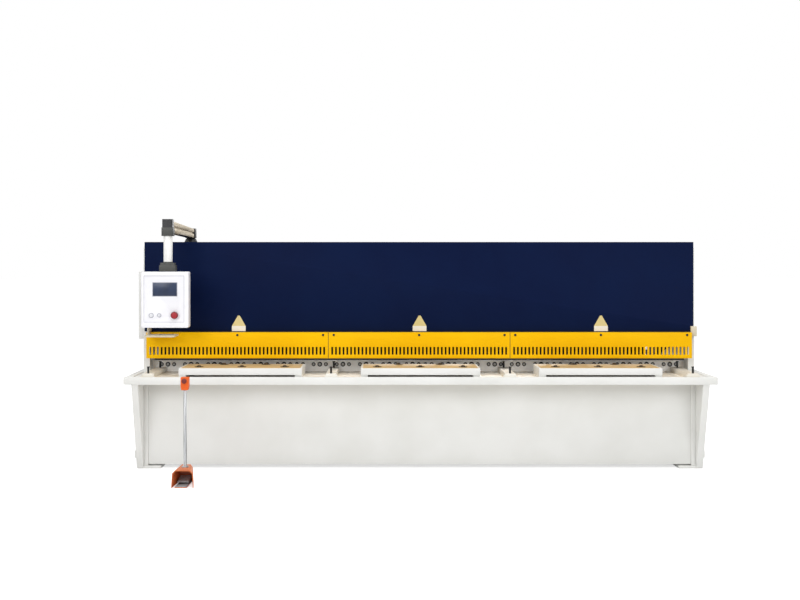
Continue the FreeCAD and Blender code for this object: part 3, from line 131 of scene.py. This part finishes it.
# Side frames, table box and tie beams
# Thick steel plate, flame cut, welded up and dressed, then filled and sprayed with off-white enamel.
# Every edge has a small ground round that catches the light.
def enamel(name, colour, shade, roughness, specular=0.5):
    """Sprayed enamel on steel: the tone drifts slowly, the gloss is a little uneven, with a fine orange peel."""
    made = bpy.data.materials.new(name)
    made.use_nodes = True
    shader = made.node_tree.nodes["Principled BSDF"]
    shader.inputs["IOR"].default_value = 1.5
    shader.inputs["Specular IOR Level"].default_value = specular
    link = made.node_tree.links.new
    place = node(made, "ShaderNodeTexCoord", {}, {})
    # the film drifts over about 0.4 m, and the real peel of 2 mm is drawn at 6 mm so that it shows
    drift = node(made, "ShaderNodeTexNoise", {}, {"Vector": place.outputs["Object"], "Scale": 1 / 0.4, "Detail": 3.0})
    tone = node(made, "ShaderNodeValToRGB", {}, {"Fac": drift.outputs[0]})
    tone.color_ramp.elements[0].position, tone.color_ramp.elements[0].color = 0.35, linear(shade)
    tone.color_ramp.elements[1].position, tone.color_ramp.elements[1].color = 0.65, linear(colour)
    peel = node(made, "ShaderNodeTexNoise", {}, {"Vector": place.outputs["Object"], "Scale": 1 / 0.006})
    gloss = node(made, "ShaderNodeMapRange", {},
                 {"Value": drift.outputs[0], "To Min": roughness - 0.06, "To Max": roughness + 0.08})
    bump = node(made, "ShaderNodeBump", {}, {"Height": peel.outputs[0], "Strength": 0.1, "Distance": 0.0004})
    link(tone.outputs["Color"], shader.inputs["Base Color"])
    link(gloss.outputs[0], shader.inputs["Roughness"])
    link(bump.outputs["Normal"], shader.inputs["Normal"])
    return made


def alone(piece):
    """Leaves one object selected and active."""
    bpy.ops.object.select_all(action="DESELECT")
    piece.select_set(True)
    bpy.context.view_layer.objects.active = piece


def finished(piece, name, material, body="frame"):
    """Puts the object's place into its mesh, names it, and gives it its finish and the body it rides on."""
    alone(piece)
    bpy.ops.object.transform_apply(location=True, rotation=True, scale=True)
    bpy.ops.object.shade_smooth_by_angle(angle=math.radians(30))
    piece.name = piece.data.name = name
    piece.data.materials.clear()
    piece.data.materials.append(material)
    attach(piece, body)
    return piece


def rounded_edges(piece, width, segments=2):
    """Rounds the piece's sharp edges with a bevel that is applied."""
    alone(piece)
    rounding = piece.modifiers.new("rounding", "BEVEL")
    rounding.width = width
    rounding.segments = segments
    rounding.limit_method = "ANGLE"
    rounding.angle_limit = math.radians(35)
    bpy.ops.object.modifier_apply(modifier="rounding")


def dressed(source, material, edge=0.002, body="frame"):
    """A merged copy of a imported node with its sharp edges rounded, which stands for that node."""
    piece = bpy.data.objects.new(source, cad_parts[source].data.copy())
    bpy.context.scene.collection.objects.link(piece)
    alone(piece)
    bpy.ops.object.mode_set(mode="EDIT")
    bpy.ops.mesh.select_all(action="SELECT")
    bpy.ops.mesh.remove_doubles(threshold=0.00002)
    bpy.ops.mesh.dissolve_limited(angle_limit=math.radians(0.5))
    bpy.ops.object.mode_set(mode="OBJECT")
    rounded_edges(piece, edge)
    finished(piece, source + "_finished", material, body)
    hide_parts(source)
    return piece


# a satin off-white whose large sheets are not one flat tone
white_enamel = enamel("white_enamel_sprayed_on_steel", "#eaeae7", "#e3e3df", 0.42)
for source, edge in (
    ("left_side_frame", 0.003), ("right_side_frame", 0.003), ("front_panel", 0.002), ("corner_strips", 0.003),
    ("bed_floor", 0.001), ("apron_beam", 0.004), ("side_rails", 0.004),
    ("rear_ties", 0.003), ("rear_slide", 0.001),
):
    dressed(source, white_enamel, edge)
dressed("foot_plates", white_enamel, 0.002)
# the bed's front gets a whiter copy of the same enamel: painted light that makes up for the shade under the guard
bed_white_with_painted_light = enamel("white_enamel_brightened_as_painted_light_on_the_bed", "#fdfdfc", "#f8f8f6", 0.4)
dressed("bed_bar", bed_white_with_painted_light, 0.0015)


# Table deck, support arms and stop pins
# The deck is folded sheet between the apron and the bed, dulled by the plates that are dragged over it.
# Each support arm is a welded box with a trapezoid tab in front and blackened stop pins on top.
def metal(name, colour, shade, roughness, grain, relief=0.0001, metallic=1.0):
    """Worked stock: marks drawn out along the way it was rolled, ground or cast break up colour and gloss."""
    made = bpy.data.materials.new(name)
    made.use_nodes = True
    shader = made.node_tree.nodes["Principled BSDF"]
    shader.inputs["Metallic"].default_value = metallic
    link = made.node_tree.links.new
    place = node(made, "ShaderNodeTexCoord", {}, {})
    # grain is the marks' real length along X, Y and Z in metres
    drawn = node(made, "ShaderNodeMapping", {},
                 {"Vector": place.outputs["Object"], "Scale": tuple(1 / size for size in grain)})
    marks = node(made, "ShaderNodeTexNoise", {}, {"Vector": drawn.outputs[0], "Scale": 1.0, "Detail": 4.0})
    tone = node(made, "ShaderNodeValToRGB", {}, {"Fac": marks.outputs[0]})
    tone.color_ramp.elements[0].position, tone.color_ramp.elements[0].color = 0.35, linear(shade)
    tone.color_ramp.elements[1].position, tone.color_ramp.elements[1].color = 0.65, linear(colour)
    gloss = node(made, "ShaderNodeMapRange", {},
                 {"Value": marks.outputs[0], "To Min": roughness - 0.08, "To Max": roughness + 0.1})
    bump = node(made, "ShaderNodeBump", {}, {"Height": marks.outputs[0], "Strength": 0.25, "Distance": relief})
    link(tone.outputs["Color"], shader.inputs["Base Color"])
    link(gloss.outputs[0], shader.inputs["Roughness"])
    link(bump.outputs["Normal"], shader.inputs["Normal"])
    return made


# black oxide keeps the rolled steel's faint mottling and has almost no shine
black_steel = metal("black_oxide_on_rolled_steel", "#1e1f20", "#141516", 0.6, (0.03, 0.03, 0.03), metallic=0.15)
# a cream sheet rubbed smooth, with broad soft smears that shine at a low angle
deck_sheet = metal("rubbed_deck_sheet", "#fbf4e6", "#f0e6d4", 0.24, (0.09, 0.05, 0.05), metallic=0.0)
# white enamel gone warm and a little shiny where the plates slide
arm_enamel = enamel("rubbed_white_enamel", "#efece4", "#e0dacb", 0.4)
dressed("table_deck", deck_sheet, 0.0015)
dressed("support_arms", arm_enamel, 0.002)
dressed("stop_pins", black_steel, 0.001)

# Ball tables
# Welded trays in white enamel, with a ground steel plate let in on top; the yellow guard's warm reflection in it is
# painted into its tan colour.
# Steel transfer balls stand in black flanges on the plate, so that a sheet can be rolled over them.
dressed("ball_tables", white_enamel, 0.002)


def slab(low, high):
    """A cube primitive at its size and place, from its lowest to its highest corner."""
    bpy.ops.object.select_all(action="DESELECT")
    bpy.ops.mesh.primitive_cube_add(size=1, location=[(a + b) / 2 for a, b in zip(low, high)])
    piece = bpy.context.object
    piece.scale = [b - a for a, b in zip(low, high)]
    bpy.ops.object.transform_apply(location=True, rotation=False, scale=True)
    return piece


# ground steel, with fine marks along its length; its tan colour is a painted reflection of the yellow guard
table_steel_with_painted_reflection = metal("ground_table_steel_tan_as_painted_reflection", "#e2c99d", "#c9ad7e", 0.36, (0.25, 0.012, 0.012), metallic=0.2)
PLATE_INSET, PLATE_HEIGHT, PLATE_EDGE = 0.014, 0.0012, 0.0004
OUTER_TABLE_START, MIDDLE_TABLE_HALF = 0.876, 0.441
low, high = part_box("ball_tables")
table_end = -low[0]
tops = []
for left, right in ((-table_end, -OUTER_TABLE_START), (-MIDDLE_TABLE_HALF, MIDDLE_TABLE_HALF),
                    (OUTER_TABLE_START, table_end)):
    plate = slab((left + PLATE_INSET, low[1] + PLATE_INSET, high[2]),
                 (right - PLATE_INSET, high[1] - PLATE_INSET, high[2] + PLATE_HEIGHT))
    rounded_edges(plate, PLATE_EDGE, 1)
    tops.append(plate)
alone(tops[0])
for plate in tops:
    plate.select_set(True)
bpy.ops.object.join()
finished(bpy.context.object, "ball_table_plates", table_steel_with_painted_reflection)
# brown, oily balls that are nearly black beside the pale plate
ball_steel = metal("worn_ball_steel", "#5c5347", "#332c24", 0.35, (0.01, 0.01, 0.01))
dressed("transfer_balls", ball_steel, 0.001)


# Bed bolts and blades
# Socket-head cap screws sit in counterbores along the bed bar: a large one between two small ones, over and over.
# They hold the lower blade, which is hardened tool steel, ground on all its faces.
def disc(radius, depth, sides):
    """A cylinder primitive that stands out towards the operator from the origin."""
    bpy.ops.object.select_all(action="DESELECT")
    bpy.ops.mesh.primitive_cylinder_add(vertices=sides, radius=radius, depth=depth, location=(0, 0, depth / 2))
    piece = bpy.context.object
    bpy.ops.object.transform_apply(location=True, rotation=False, scale=True)
    piece.rotation_euler.x = math.radians(90)
    bpy.ops.object.transform_apply(location=True, rotation=True, scale=True)
    return piece


def pick(piece, wanted):
    """Opens a piece in edit mode with only the faces selected that the test wants."""
    alone(piece)
    bpy.ops.object.mode_set(mode="EDIT")
    bpy.ops.mesh.select_mode(type="FACE")
    bpy.ops.mesh.select_all(action="DESELECT")
    bpy.ops.object.mode_set(mode="OBJECT")
    for face in piece.data.polygons:
        face.select = wanted(face)
    bpy.ops.object.mode_set(mode="EDIT")


def faces_front(face):
    """True for a face that looks towards the operator."""
    return face.normal.y < -0.9


def pull(x, y, z):
    """Extrudes the selected faces by a distance along each axis."""
    bpy.ops.mesh.extrude_region_move(TRANSFORM_OT_translate={"value": (x, y, z)})


def copies(pattern, places):
    """Copies a piece to each place, and joins the copies as one mesh."""
    made = []
    for place in places:
        copy = pattern.copy()
        copy.data = pattern.data.copy()
        bpy.context.scene.collection.objects.link(copy)
        copy.location = place
        made.append(copy)
    bpy.data.objects.remove(pattern)
    alone(made[0])
    for copy in made:
        copy.select_set(True)
    bpy.ops.object.join()
    return bpy.context.object


BOLT_ROW, BOLT_FACE = 0.755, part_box("bed_bar")[0][1]
# after the sixth, eleventh and sixteenth group there is a wider gap with one more pair of small bolts
GROUPS, FIRST_GROUP, GROUP_PITCH, WIDE_PITCH, BOLT_PITCH = 21, -1.960, 0.1815, 0.280, 0.048
WIDE_AFTER, PAIR_SHIFT = (6, 11, 16), 0.015
bolt_middles, pair_middles = [], []
along = FIRST_GROUP
for group in range(1, GROUPS + 1):
    bolt_middles.append(along)
    if group in WIDE_AFTER:
        pair_middles.append(along + WIDE_PITCH / 2 - PAIR_SHIFT)
    along += WIDE_PITCH if group in WIDE_AFTER else GROUP_PITCH
large_places = [(x, BOLT_FACE, BOLT_ROW) for x in bolt_middles]
small_places = [(x + side * BOLT_PITCH, BOLT_FACE, BOLT_ROW) for x in bolt_middles for side in (-1, 1)]
small_places += [(x + side * BOLT_PITCH / 2, BOLT_FACE, BOLT_ROW) for x in pair_middles for side in (-1, 1)]
# bright steel with grinding lines along the blade
tool_steel = metal("ground_tool_steel", "#b9babb", "#9fa1a2", 0.28, (0.2, 0.004, 0.004))
# the same steel made dark and dull: on the upper blade this is painted shade, so that the guard's slots look dark; on
# the back gauge it is old oil
oiled_and_shade_dark_steel = metal("oiled_tool_steel_and_painted_shade", "#232425", "#17181a", 0.6, (0.2, 0.004, 0.004), metallic=0.2)
# a plain grey head; the flat black disc round it is painted shade for its counterbore
bolt_steel = metal("oiled_bolt_steel", "#a9a9a6", "#8b8b87", 0.36, (0.006, 0.006, 0.006))
SHADE_DISC_DEPTH, SHADE_DISC_RIM, HEAD_DEPTH, HEAD_RIM, HEAD_CROWN, KEY_DEPTH = 0.0008, 0.0015, 0.006, 0.001, 0.0006, 0.004
HEAD_SHARE, KEY_SHARE = 0.52, 0.2
for size_name, radius, places in (("large", 0.0190, large_places), ("small", 0.0158, small_places)):
    # a flat black disc, proud of the bar, stands for the shade in each counterbore
    shade_disc = disc(radius, SHADE_DISC_DEPTH, 28)
    pick(shade_disc, faces_front)
    bpy.ops.mesh.inset(thickness=SHADE_DISC_RIM)
    bpy.ops.object.mode_set(mode="OBJECT")
    finished(copies(shade_disc, places), f"{size_name}_bolt_counterbore_shade", black_steel)
    head = disc(HEAD_SHARE * radius, HEAD_DEPTH, 24)
    pick(head, faces_front)
    bpy.ops.mesh.inset(thickness=HEAD_RIM)
    pull(0, -HEAD_CROWN, 0)
    bpy.ops.mesh.inset(thickness=KEY_SHARE * radius)
    pull(0, KEY_DEPTH, 0)
    bpy.ops.object.mode_set(mode="OBJECT")
    finished(copies(head, places), f"{size_name}_bed_bolts", bolt_steel)
dressed("lower_blade", tool_steel, 0.0005)
# the upper blade's dark colour is painted shade behind the guard's slots
dressed("upper_blade", oiled_and_shade_dark_steel, 0.0005)

# Hold-downs
# A row of hydraulic cylinders, turned from steel bar and blackened, screwed into the bar behind the guard.
# Their plungers press the sheet on the table.
dressed("hold_downs", black_steel, 0.001)


# Upper cover, top plate, front girder and swing beam
# The cover is folded sheet steel, screwed to the girder, and the beam behind it is a welded and ribbed box.
# All are sprayed the same deep navy.
def repainted(piece, material, wanted):
    """Gives the faces that the test wants a second finish."""
    piece.data.materials.append(material)
    pick(piece, wanted)
    piece.active_material_index = len(piece.data.materials) - 1
    bpy.ops.object.material_slot_assign()
    bpy.ops.object.mode_set(mode="OBJECT")


# a dark satin film with very little reflection, so that it stays nearly black-blue in the bright studio
navy_enamel = enamel("navy_enamel_sprayed_on_sheet_steel", "#0a183a", "#091536", 0.5, 0.04)
cover = dressed("upper_cover", navy_enamel, 0.002)
for source in ("top_plate", "front_girder", "swing_beam", "beam_arms"):
    dressed(source, navy_enamel, 0.002)
# the guard's bracket at the right end is left in pale, flat primer
pale_primer = enamel("pale_primer_on_folded_sheet", "#ded5c0", "#d0c5ab", 0.5)
COVER_FACE, COVER_END, COVER_FOOT = -0.180, 2.118, 1.021
PROUD_OF_COVER = 0.0005
repainted(cover, pale_primer,
          lambda face: face.center.y < COVER_FACE - PROUD_OF_COVER or face.center.x > COVER_END)

# Plates on the cover
# Three bare house-shaped plates of printed sheet, stuck on above the guard: a pale field over a white strip.
# Each is cut from one sheet, so its two fields share a face.
TAG_HALF, TAG_HEIGHT, TAG_STRIP, TAG_WALL, TAG_DEPTH = 0.053, 0.120, 0.034, 0.006, 0.0015
TAG_PEAK, TAG_SLACK = 0.14, 0.001
tag = slab((-TAG_HALF, -TAG_DEPTH, 0), (TAG_HALF, 0, TAG_STRIP))
pick(tag, lambda face: face.normal.z > 0.9)
pull(0, 0, TAG_WALL)
pull(0, 0, TAG_HEIGHT - TAG_STRIP - TAG_WALL)
bpy.ops.transform.resize(value=(TAG_PEAK, 1, 1))
bpy.ops.object.mode_set(mode="OBJECT")
# flat printer's white and a pale straw yellow, with no gloss of their own
tag_white = enamel("white_printed_sheet", "#e9e7dd", "#e2dfd3", 0.5)
tag_cream = enamel("cream_printed_sheet", "#d9c98e", "#cfbd7c", 0.5)
tag_places = [(x, COVER_FACE, COVER_FOOT) for x in (-1.390, 0.005, 1.404)]
tags = finished(copies(tag, tag_places), "cover_plates", tag_white)
repainted(tags, tag_cream, lambda face: face.center.z > COVER_FOOT + TAG_STRIP + TAG_WALL + TAG_SLACK)

# Slotted guard
# Three long panels of folded sheet, punched with a row of viewing slots and sprayed a warm signal yellow.
# Dark button-head screws hold them along the upper edge.
guard_low, guard_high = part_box("guard_panels")
GUARD_FACE = guard_low[1]
# a full, even yellow; its low reflection keeps the colour strong under the lamps
yellow_enamel = enamel("yellow_enamel_sprayed_on_sheet_steel", "#f7bf00", "#f2b800", 0.42, 0.08)
dressed("guard_panels", yellow_enamel, 0.0008)
SCREW_RADIUS, SCREW_HEIGHT, SCREW_SLOPE, SCREW_CROWN, SCREW_KEY = 0.009, 0.003, 0.003, 0.002, 0.002
screw = disc(SCREW_RADIUS, SCREW_HEIGHT, 20)
pick(screw, faces_front)
bpy.ops.mesh.inset(thickness=SCREW_SLOPE)
pull(0, -SCREW_CROWN, 0)
bpy.ops.mesh.inset(thickness=SCREW_KEY)
pull(0, SCREW_CROWN, 0)
bpy.ops.object.mode_set(mode="OBJECT")
SCREW_ROW, SCREWS_OUT = 0.995, (0.655, 0.737, 1.394, 2.055)
screw_places = [(side * x, GUARD_FACE, SCREW_ROW) for x in SCREWS_OUT for side in (-1, 1)]
finished(copies(screw, screw_places + [(0, GUARD_FACE, SCREW_ROW)]), "guard_screws", black_steel)


# Rubber edgings, black also as painted shade
# Black rubber profiles, extruded and pressed on: one under the guard keeps fingers out, one closes the seam under
# the cover, and two thin ones stand between the guard's panels. Their black is also painted shade: the one under the
# guard stands for the lip's shadow, the seam for the shade in the gap, and the thin ones for the shadow in the lapped
# joints.
def edging(name, low, high, edge):
    """A rubber profile, black also as painted shade: a rounded bar with a groove drawn along its front."""
    bar = slab(low, high)
    pick(bar, faces_front)
    bpy.ops.mesh.inset(thickness=edge)
    pull(0, edge, 0)
    bpy.ops.object.mode_set(mode="OBJECT")
    rounded_edges(bar, edge / 3, 1)
    return finished(bar, name, black_rubber_and_painted_shade)


# dead black, which is also painted shade, with only a faint drawn line along each profile
black_rubber_and_painted_shade = metal("black_rubber_strips_as_painted_shade", "#171717", "#0f0f0f", 0.7, (0.2, 0.003, 0.003), metallic=0.0)
EDGING_HALF, EDGING_DROP, EDGING_FRONT, EDGING_BACK = 2.031, 0.014, 0.001, 0.009
edging("guard_edging_and_lip_shade", (-EDGING_HALF, GUARD_FACE + EDGING_FRONT, guard_low[2] - EDGING_DROP),
       (EDGING_HALF, GUARD_FACE + EDGING_BACK, guard_low[2]), 0.0012)
SEAM_HALF, SEAM_DEPTH = 2.090, 0.004
edging("cover_seam_shade_strip", (-SEAM_HALF, COVER_FACE - SEAM_DEPTH, guard_high[2]),
       (SEAM_HALF, COVER_FACE + SEAM_DEPTH, COVER_FOOT), 0.0008)
GUARD_JOINT, JOINT_HALF, JOINT_PROUD, JOINT_DEEP, JOINT_SHORT = 0.697, 0.002, 0.0006, 0.002, 0.001
for side, label in ((-1, "left"), (1, "right")):
    middle = side * GUARD_JOINT
    edging(label + "_guard_joint_shade_strip", (middle - JOINT_HALF, GUARD_FACE - JOINT_PROUD, guard_low[2] + JOINT_SHORT),
           (middle + JOINT_HALF, GUARD_FACE + JOINT_DEEP, guard_high[2] - JOINT_SHORT), 0.0004)

# Main cylinders, rods and pivot pins
# Blackened steel cylinders, bolted to the frames, push the beam down through hard-chromed rods.
# Turned and plated pins in the side frames carry the beam's arms.
dressed("main_cylinders", black_steel, 0.002)
# plating so bright that it mirrors the studio, with the faintest haze
chrome = metal("polished_chrome_plate", "#d8dadc", "#c4c7ca", 0.16, (0.02, 0.02, 0.02), 0.00003)
dressed("piston_rods", chrome, 0.001)
dressed("pivot_pins", chrome, 0.002)

# Back gauge
# A ground steel stop bar, carried by two screws that turn in bearings.
# The rails that guide it are bolted under the beam, and all of it is dark with oil.
for source in ("gauge_rails", "gauge_screws", "gauge_bar"):
    dressed(source, oiled_and_shade_dark_steel, 0.001)

# Oil tank, pump motor and valve block
# A welded sheet tank in white enamel hangs behind the cover.
# The cast motor and the milled valve block beside it have one grey lacquer.
dressed("oil_tank", white_enamel, 0.003)
# mid grey lacquer over sand-cast skin, with a fine pebbled relief
grey_casting = metal("grey_lacquer_on_cast_aluminium", "#4b4c49", "#3e3f3d", 0.5, (0.004, 0.004, 0.004), 0.0003, 0.2)
dressed("pump_motor", grey_casting, 0.002)
dressed("valve_block", grey_casting, 0.002)

# Side cabinet and tool shelf
# A flat cabinet of sheet steel is screwed to the left frame's outer face.
# Beside the guard a small shelf, folded from thin sheet, holds hand tools.
dressed("side_cabinet", white_enamel, 0.004)
# a warm beige film that is a shade darker in its drifts
shelf_enamel = enamel("pale_enamel_on_folded_sheet", "#ddd3bb", "#cfc2a2", 0.4)
dressed("tool_shelf", shelf_enamel, 0.001)

# Boom foot, boom profile and elbow
# The foot and the two-part elbow are lacquered aluminium castings, screwed together.
# The boom between them is an extruded, anodised profile, and a round tube hangs from its end.
HUB_START, ELBOW_SEAM, SEAM_SLACK = 0.45, 1.812, 0.001
# nearly black lacquer over the same cast skin
dark_casting = metal("dark_lacquer_on_cast_aluminium", "#1e1f21", "#161719", 0.45, (0.004, 0.004, 0.004), 0.0003, 0.2)
# champagne anodising with streaks along the extrusion
anodised = metal("anodised_extruded_aluminium", "#d8ccb6", "#ab9c80", 0.38, (0.03, 0.4, 0.02), metallic=0.55)
# silver-white anodising, drawn down the tube
tube_finish = metal("anodised_round_tube", "#fafaf8", "#efeeeb", 0.4, (0.02, 0.02, 0.4), metallic=0.1)
dressed("boom_foot", dark_casting, 0.001)
boom = dressed("boom_arm", anodised, 0.001, "boom")
repainted(boom, dark_casting, lambda face: face.center.y > HUB_START)
elbow = dressed("boom_elbow", grey_casting, 0.0015, "boom")
repainted(elbow, dark_casting, lambda face: face.center.z > ELBOW_SEAM - SEAM_SLACK)
dressed("drop_tube", tube_finish, 0.0006, "boom")


# Pendant
# A moulded white housing under a cast coupling. Its recessed panel carries a dark screen, two push buttons in
# grey rings and a red emergency stop.
def moulded(name, colour, shade, roughness, grain=0.0015):
    """Moulded plastic: an even colour with a fine spark-eroded grain that keeps the highlights soft."""
    made = bpy.data.materials.new(name)
    made.use_nodes = True
    shader = made.node_tree.nodes["Principled BSDF"]
    shader.inputs["IOR"].default_value = 1.53
    link = made.node_tree.links.new
    place = node(made, "ShaderNodeTexCoord", {}, {})
    cells = node(made, "ShaderNodeTexVoronoi", {}, {"Vector": place.outputs["Object"], "Scale": 1 / grain})
    # the melt's flow shades the colour over about 71 mm
    flow = node(made, "ShaderNodeTexNoise", {}, {"Vector": place.outputs["Object"], "Scale": 14.0})
    tone = node(made, "ShaderNodeValToRGB", {}, {"Fac": flow.outputs[0]})
    tone.color_ramp.elements[0].position, tone.color_ramp.elements[0].color = 0.3, linear(shade)
    tone.color_ramp.elements[1].position, tone.color_ramp.elements[1].color = 0.7, linear(colour)
    gloss = node(made, "ShaderNodeMapRange", {},
                 {"Value": flow.outputs[0], "To Min": roughness - 0.05, "To Max": roughness + 0.05})
    bump = node(made, "ShaderNodeBump", {},
                {"Height": cells.outputs["Distance"], "Strength": 0.12, "Distance": 0.0002})
    link(tone.outputs["Color"], shader.inputs["Base Color"])
    link(gloss.outputs[0], shader.inputs["Roughness"])
    link(bump.outputs["Normal"], shader.inputs["Normal"])
    return made


def opened(piece, thickness, name):
    """Turns a thin slab into a flat frame, open in the middle, that lies on the panel."""
    pick(piece, lambda face: abs(face.normal.y) > 0.9)
    bpy.ops.mesh.inset(thickness=thickness)
    bpy.ops.mesh.bridge_edge_loops()
    bpy.ops.object.mode_set(mode="OBJECT")
    return finished(piece, name, panel_grey, "pendant")


# a cool, clean white with soft highlights
pendant_white = moulded("white_moulded_abs", "#f6f6fa", "#f1f1f6", 0.42)
# slate-blue glass with nothing lit behind it
screen_glass = moulded("unlit_screen_glass", "#213354", "#192844", 0.3, 0.003)
# a light grey that draws the panel's line and the buttons' rings
panel_grey = moulded("grey_moulded_abs", "#b9bac2", "#acadb6", 0.45)
# milky caps that are hardly darker than the housing
clear_grey = moulded("milky_moulded_plastic", "#e9eaee", "#dcdde2", 0.3)
# the stop is one red plastic: its front-facing crown has the full red, and its sloping rim a darker red that is
# painted shade
stop_red = moulded("red_moulded_plastic", "#a91b27", "#99151f", 0.35)
stop_red_painted_shade = moulded("red_moulded_plastic_painted_shade", "#7d141d", "#6e1119", 0.4)
dressed("pendant_coupling", grey_casting, 0.0015, "pendant")
casing = dressed("pendant_casing", pendant_white, 0.0015, "pendant")
dressed("pendant_screen", screen_glass, 0.0004, "pendant")
PANEL_LEFT, PANEL_RIGHT, PANEL_LOW, PANEL_HIGH, PANEL_FACE = -2.053, -1.753, 1.107, 1.453, -0.499
RING_ROW, RING_REACH, PROUD_OF_PANEL = 1.159, 0.021, 0.0003
ring_middles = [Vector((x, PANEL_FACE, RING_ROW)) for x in (-1.997, -1.938)]
repainted(casing, panel_grey, lambda face: face.center.y < PANEL_FACE - PROUD_OF_PANEL and (
    min((face.center - middle).length for middle in ring_middles) < RING_REACH))
GASKET_DEPTH, GASKET_WIDTH = 0.0012, 0.0025
gasket = slab((PANEL_LEFT, PANEL_FACE - GASKET_DEPTH, PANEL_LOW), (PANEL_RIGHT, PANEL_FACE, PANEL_HIGH))
opened(gasket, GASKET_WIDTH, "panel_gasket")
screen_low, screen_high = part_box("pendant_screen")
BEZEL_REACH, BEZEL_DEPTH, BEZEL_WIDTH = 0.004, 0.0014, 0.0042
bezel = slab((screen_low[0] - BEZEL_REACH, PANEL_FACE - BEZEL_DEPTH, screen_low[2] - BEZEL_REACH),
             (screen_high[0] + BEZEL_REACH, PANEL_FACE, screen_high[2] + BEZEL_REACH))
opened(bezel, BEZEL_WIDTH, "screen_bezel")
# the caps' edges are round enough to clear the rounded bottom of their rings when they are pushed in
for source in ("left_push_button", "right_push_button"):
    dressed(source, clear_grey, 0.0012, source)
stop = dressed("pendant_stop", stop_red_painted_shade, 0.0005, "pendant_stop")
STOP_MIDDLE, CROWN_RADIUS = Vector((-1.8225, 0, 1.160)), 0.019
# faces turned to the front keep the full red; the darker red on the rest is painted shade
repainted(stop, stop_red, lambda face: face.normal.y < -0.5 and (
    Vector((face.center.x, 0, face.center.z)) - STOP_MIDDLE).length < CROWN_RADIUS)

# Foot switch
# A pressed hood in orange enamel is screwed on a steel base, with a ribbed cast treadle under it.
# A chromed pole carries a small orange box with a red stop button.
BASE_TOP, BASE_LEFT, BASE_RIGHT, BASE_SLACK = 0.006, -1.7125, -1.6275, 0.0005
# burnt orange that browns in its drifts
orange_enamel = enamel("orange_enamel_sprayed_on_pressed_steel", "#d4713a", "#b95f30", 0.4)
# a fresher orange on the box, which no shoe touches
box_enamel = enamel("orange_enamel_on_box", "#f0692a", "#e25f22", 0.42, 0.2)
# light grey casting, matt and slightly mottled
ribbed_alloy = metal("cast_treadle_alloy", "#bcc2c5", "#9da4a8", 0.45, (0.01, 0.01, 0.01), metallic=0.2)
# bright chromed tube; the dark streaks down it are painted reflections
tube_with_painted_reflections = metal("chromed_tube_with_painted_reflection_streaks", "#e4e6e8", "#34363a", 0.3, (0.006, 0.006, 0.35), metallic=0.7)
# a dull, dark red cap
button_red = moulded("dark_moulded_mushroom_button", "#7c2218", "#6d1c14", 0.45)
hood = dressed("pedal_hood", orange_enamel, 0.001)
repainted(hood, ribbed_alloy, lambda face: face.center.z < BASE_TOP + BASE_SLACK and (
    abs(face.normal.z) > 0.5 and BASE_LEFT < face.center.x < BASE_RIGHT))
dressed("pedal_pole", tube_with_painted_reflections, 0.0006)
dressed("stop_box", box_enamel, 0.0015)
dressed("pedal_stop", button_red, 0.0005, "pedal_stop")
dressed("treadle", ribbed_alloy, 0.001, "treadle")
# eight ribs run across the sloping treadle, and six across the lip of the base
HINGE, SLOPE, TREADLE_HALF_PLATE = Vector((-1.670, -0.880, 0.038)), math.radians(9), 0.005
RIB_HALF, RIB_HALF_DEPTH, RIB_HEIGHT, RIB_START, RIB_PITCH = 0.036, 0.0025, 0.0022, 0.022, 0.011
rib = slab((-RIB_HALF, -RIB_HALF_DEPTH, 0), (RIB_HALF, RIB_HALF_DEPTH, RIB_HEIGHT))
rounded_edges(rib, 0.0008)
rib.rotation_euler.x = SLOPE
ahead = Vector((0, -math.cos(SLOPE), -math.sin(SLOPE)))
above = Vector((0, -math.sin(SLOPE), math.cos(SLOPE)))
rib_places = [HINGE + ahead * (RIB_START + RIB_PITCH * step) + above * TREADLE_HALF_PLATE for step in range(8)]
finished(copies(rib, rib_places), "treadle_ribs", ribbed_alloy, "treadle")
LIP_HALF, LIP_HALF_DEPTH, LIP_HEIGHT, LIP_START, LIP_PITCH = 0.038, 0.003, 0.0025, -1.078, 0.014
lip_rib = slab((-LIP_HALF, -LIP_HALF_DEPTH, 0), (LIP_HALF, LIP_HALF_DEPTH, LIP_HEIGHT))
rounded_edges(lip_rib, 0.0009)
lip_places = [(HINGE.x, LIP_START + LIP_PITCH * step, BASE_TOP) for step in range(6)]
finished(copies(lip_rib, lip_places), "base_ribs", ribbed_alloy)
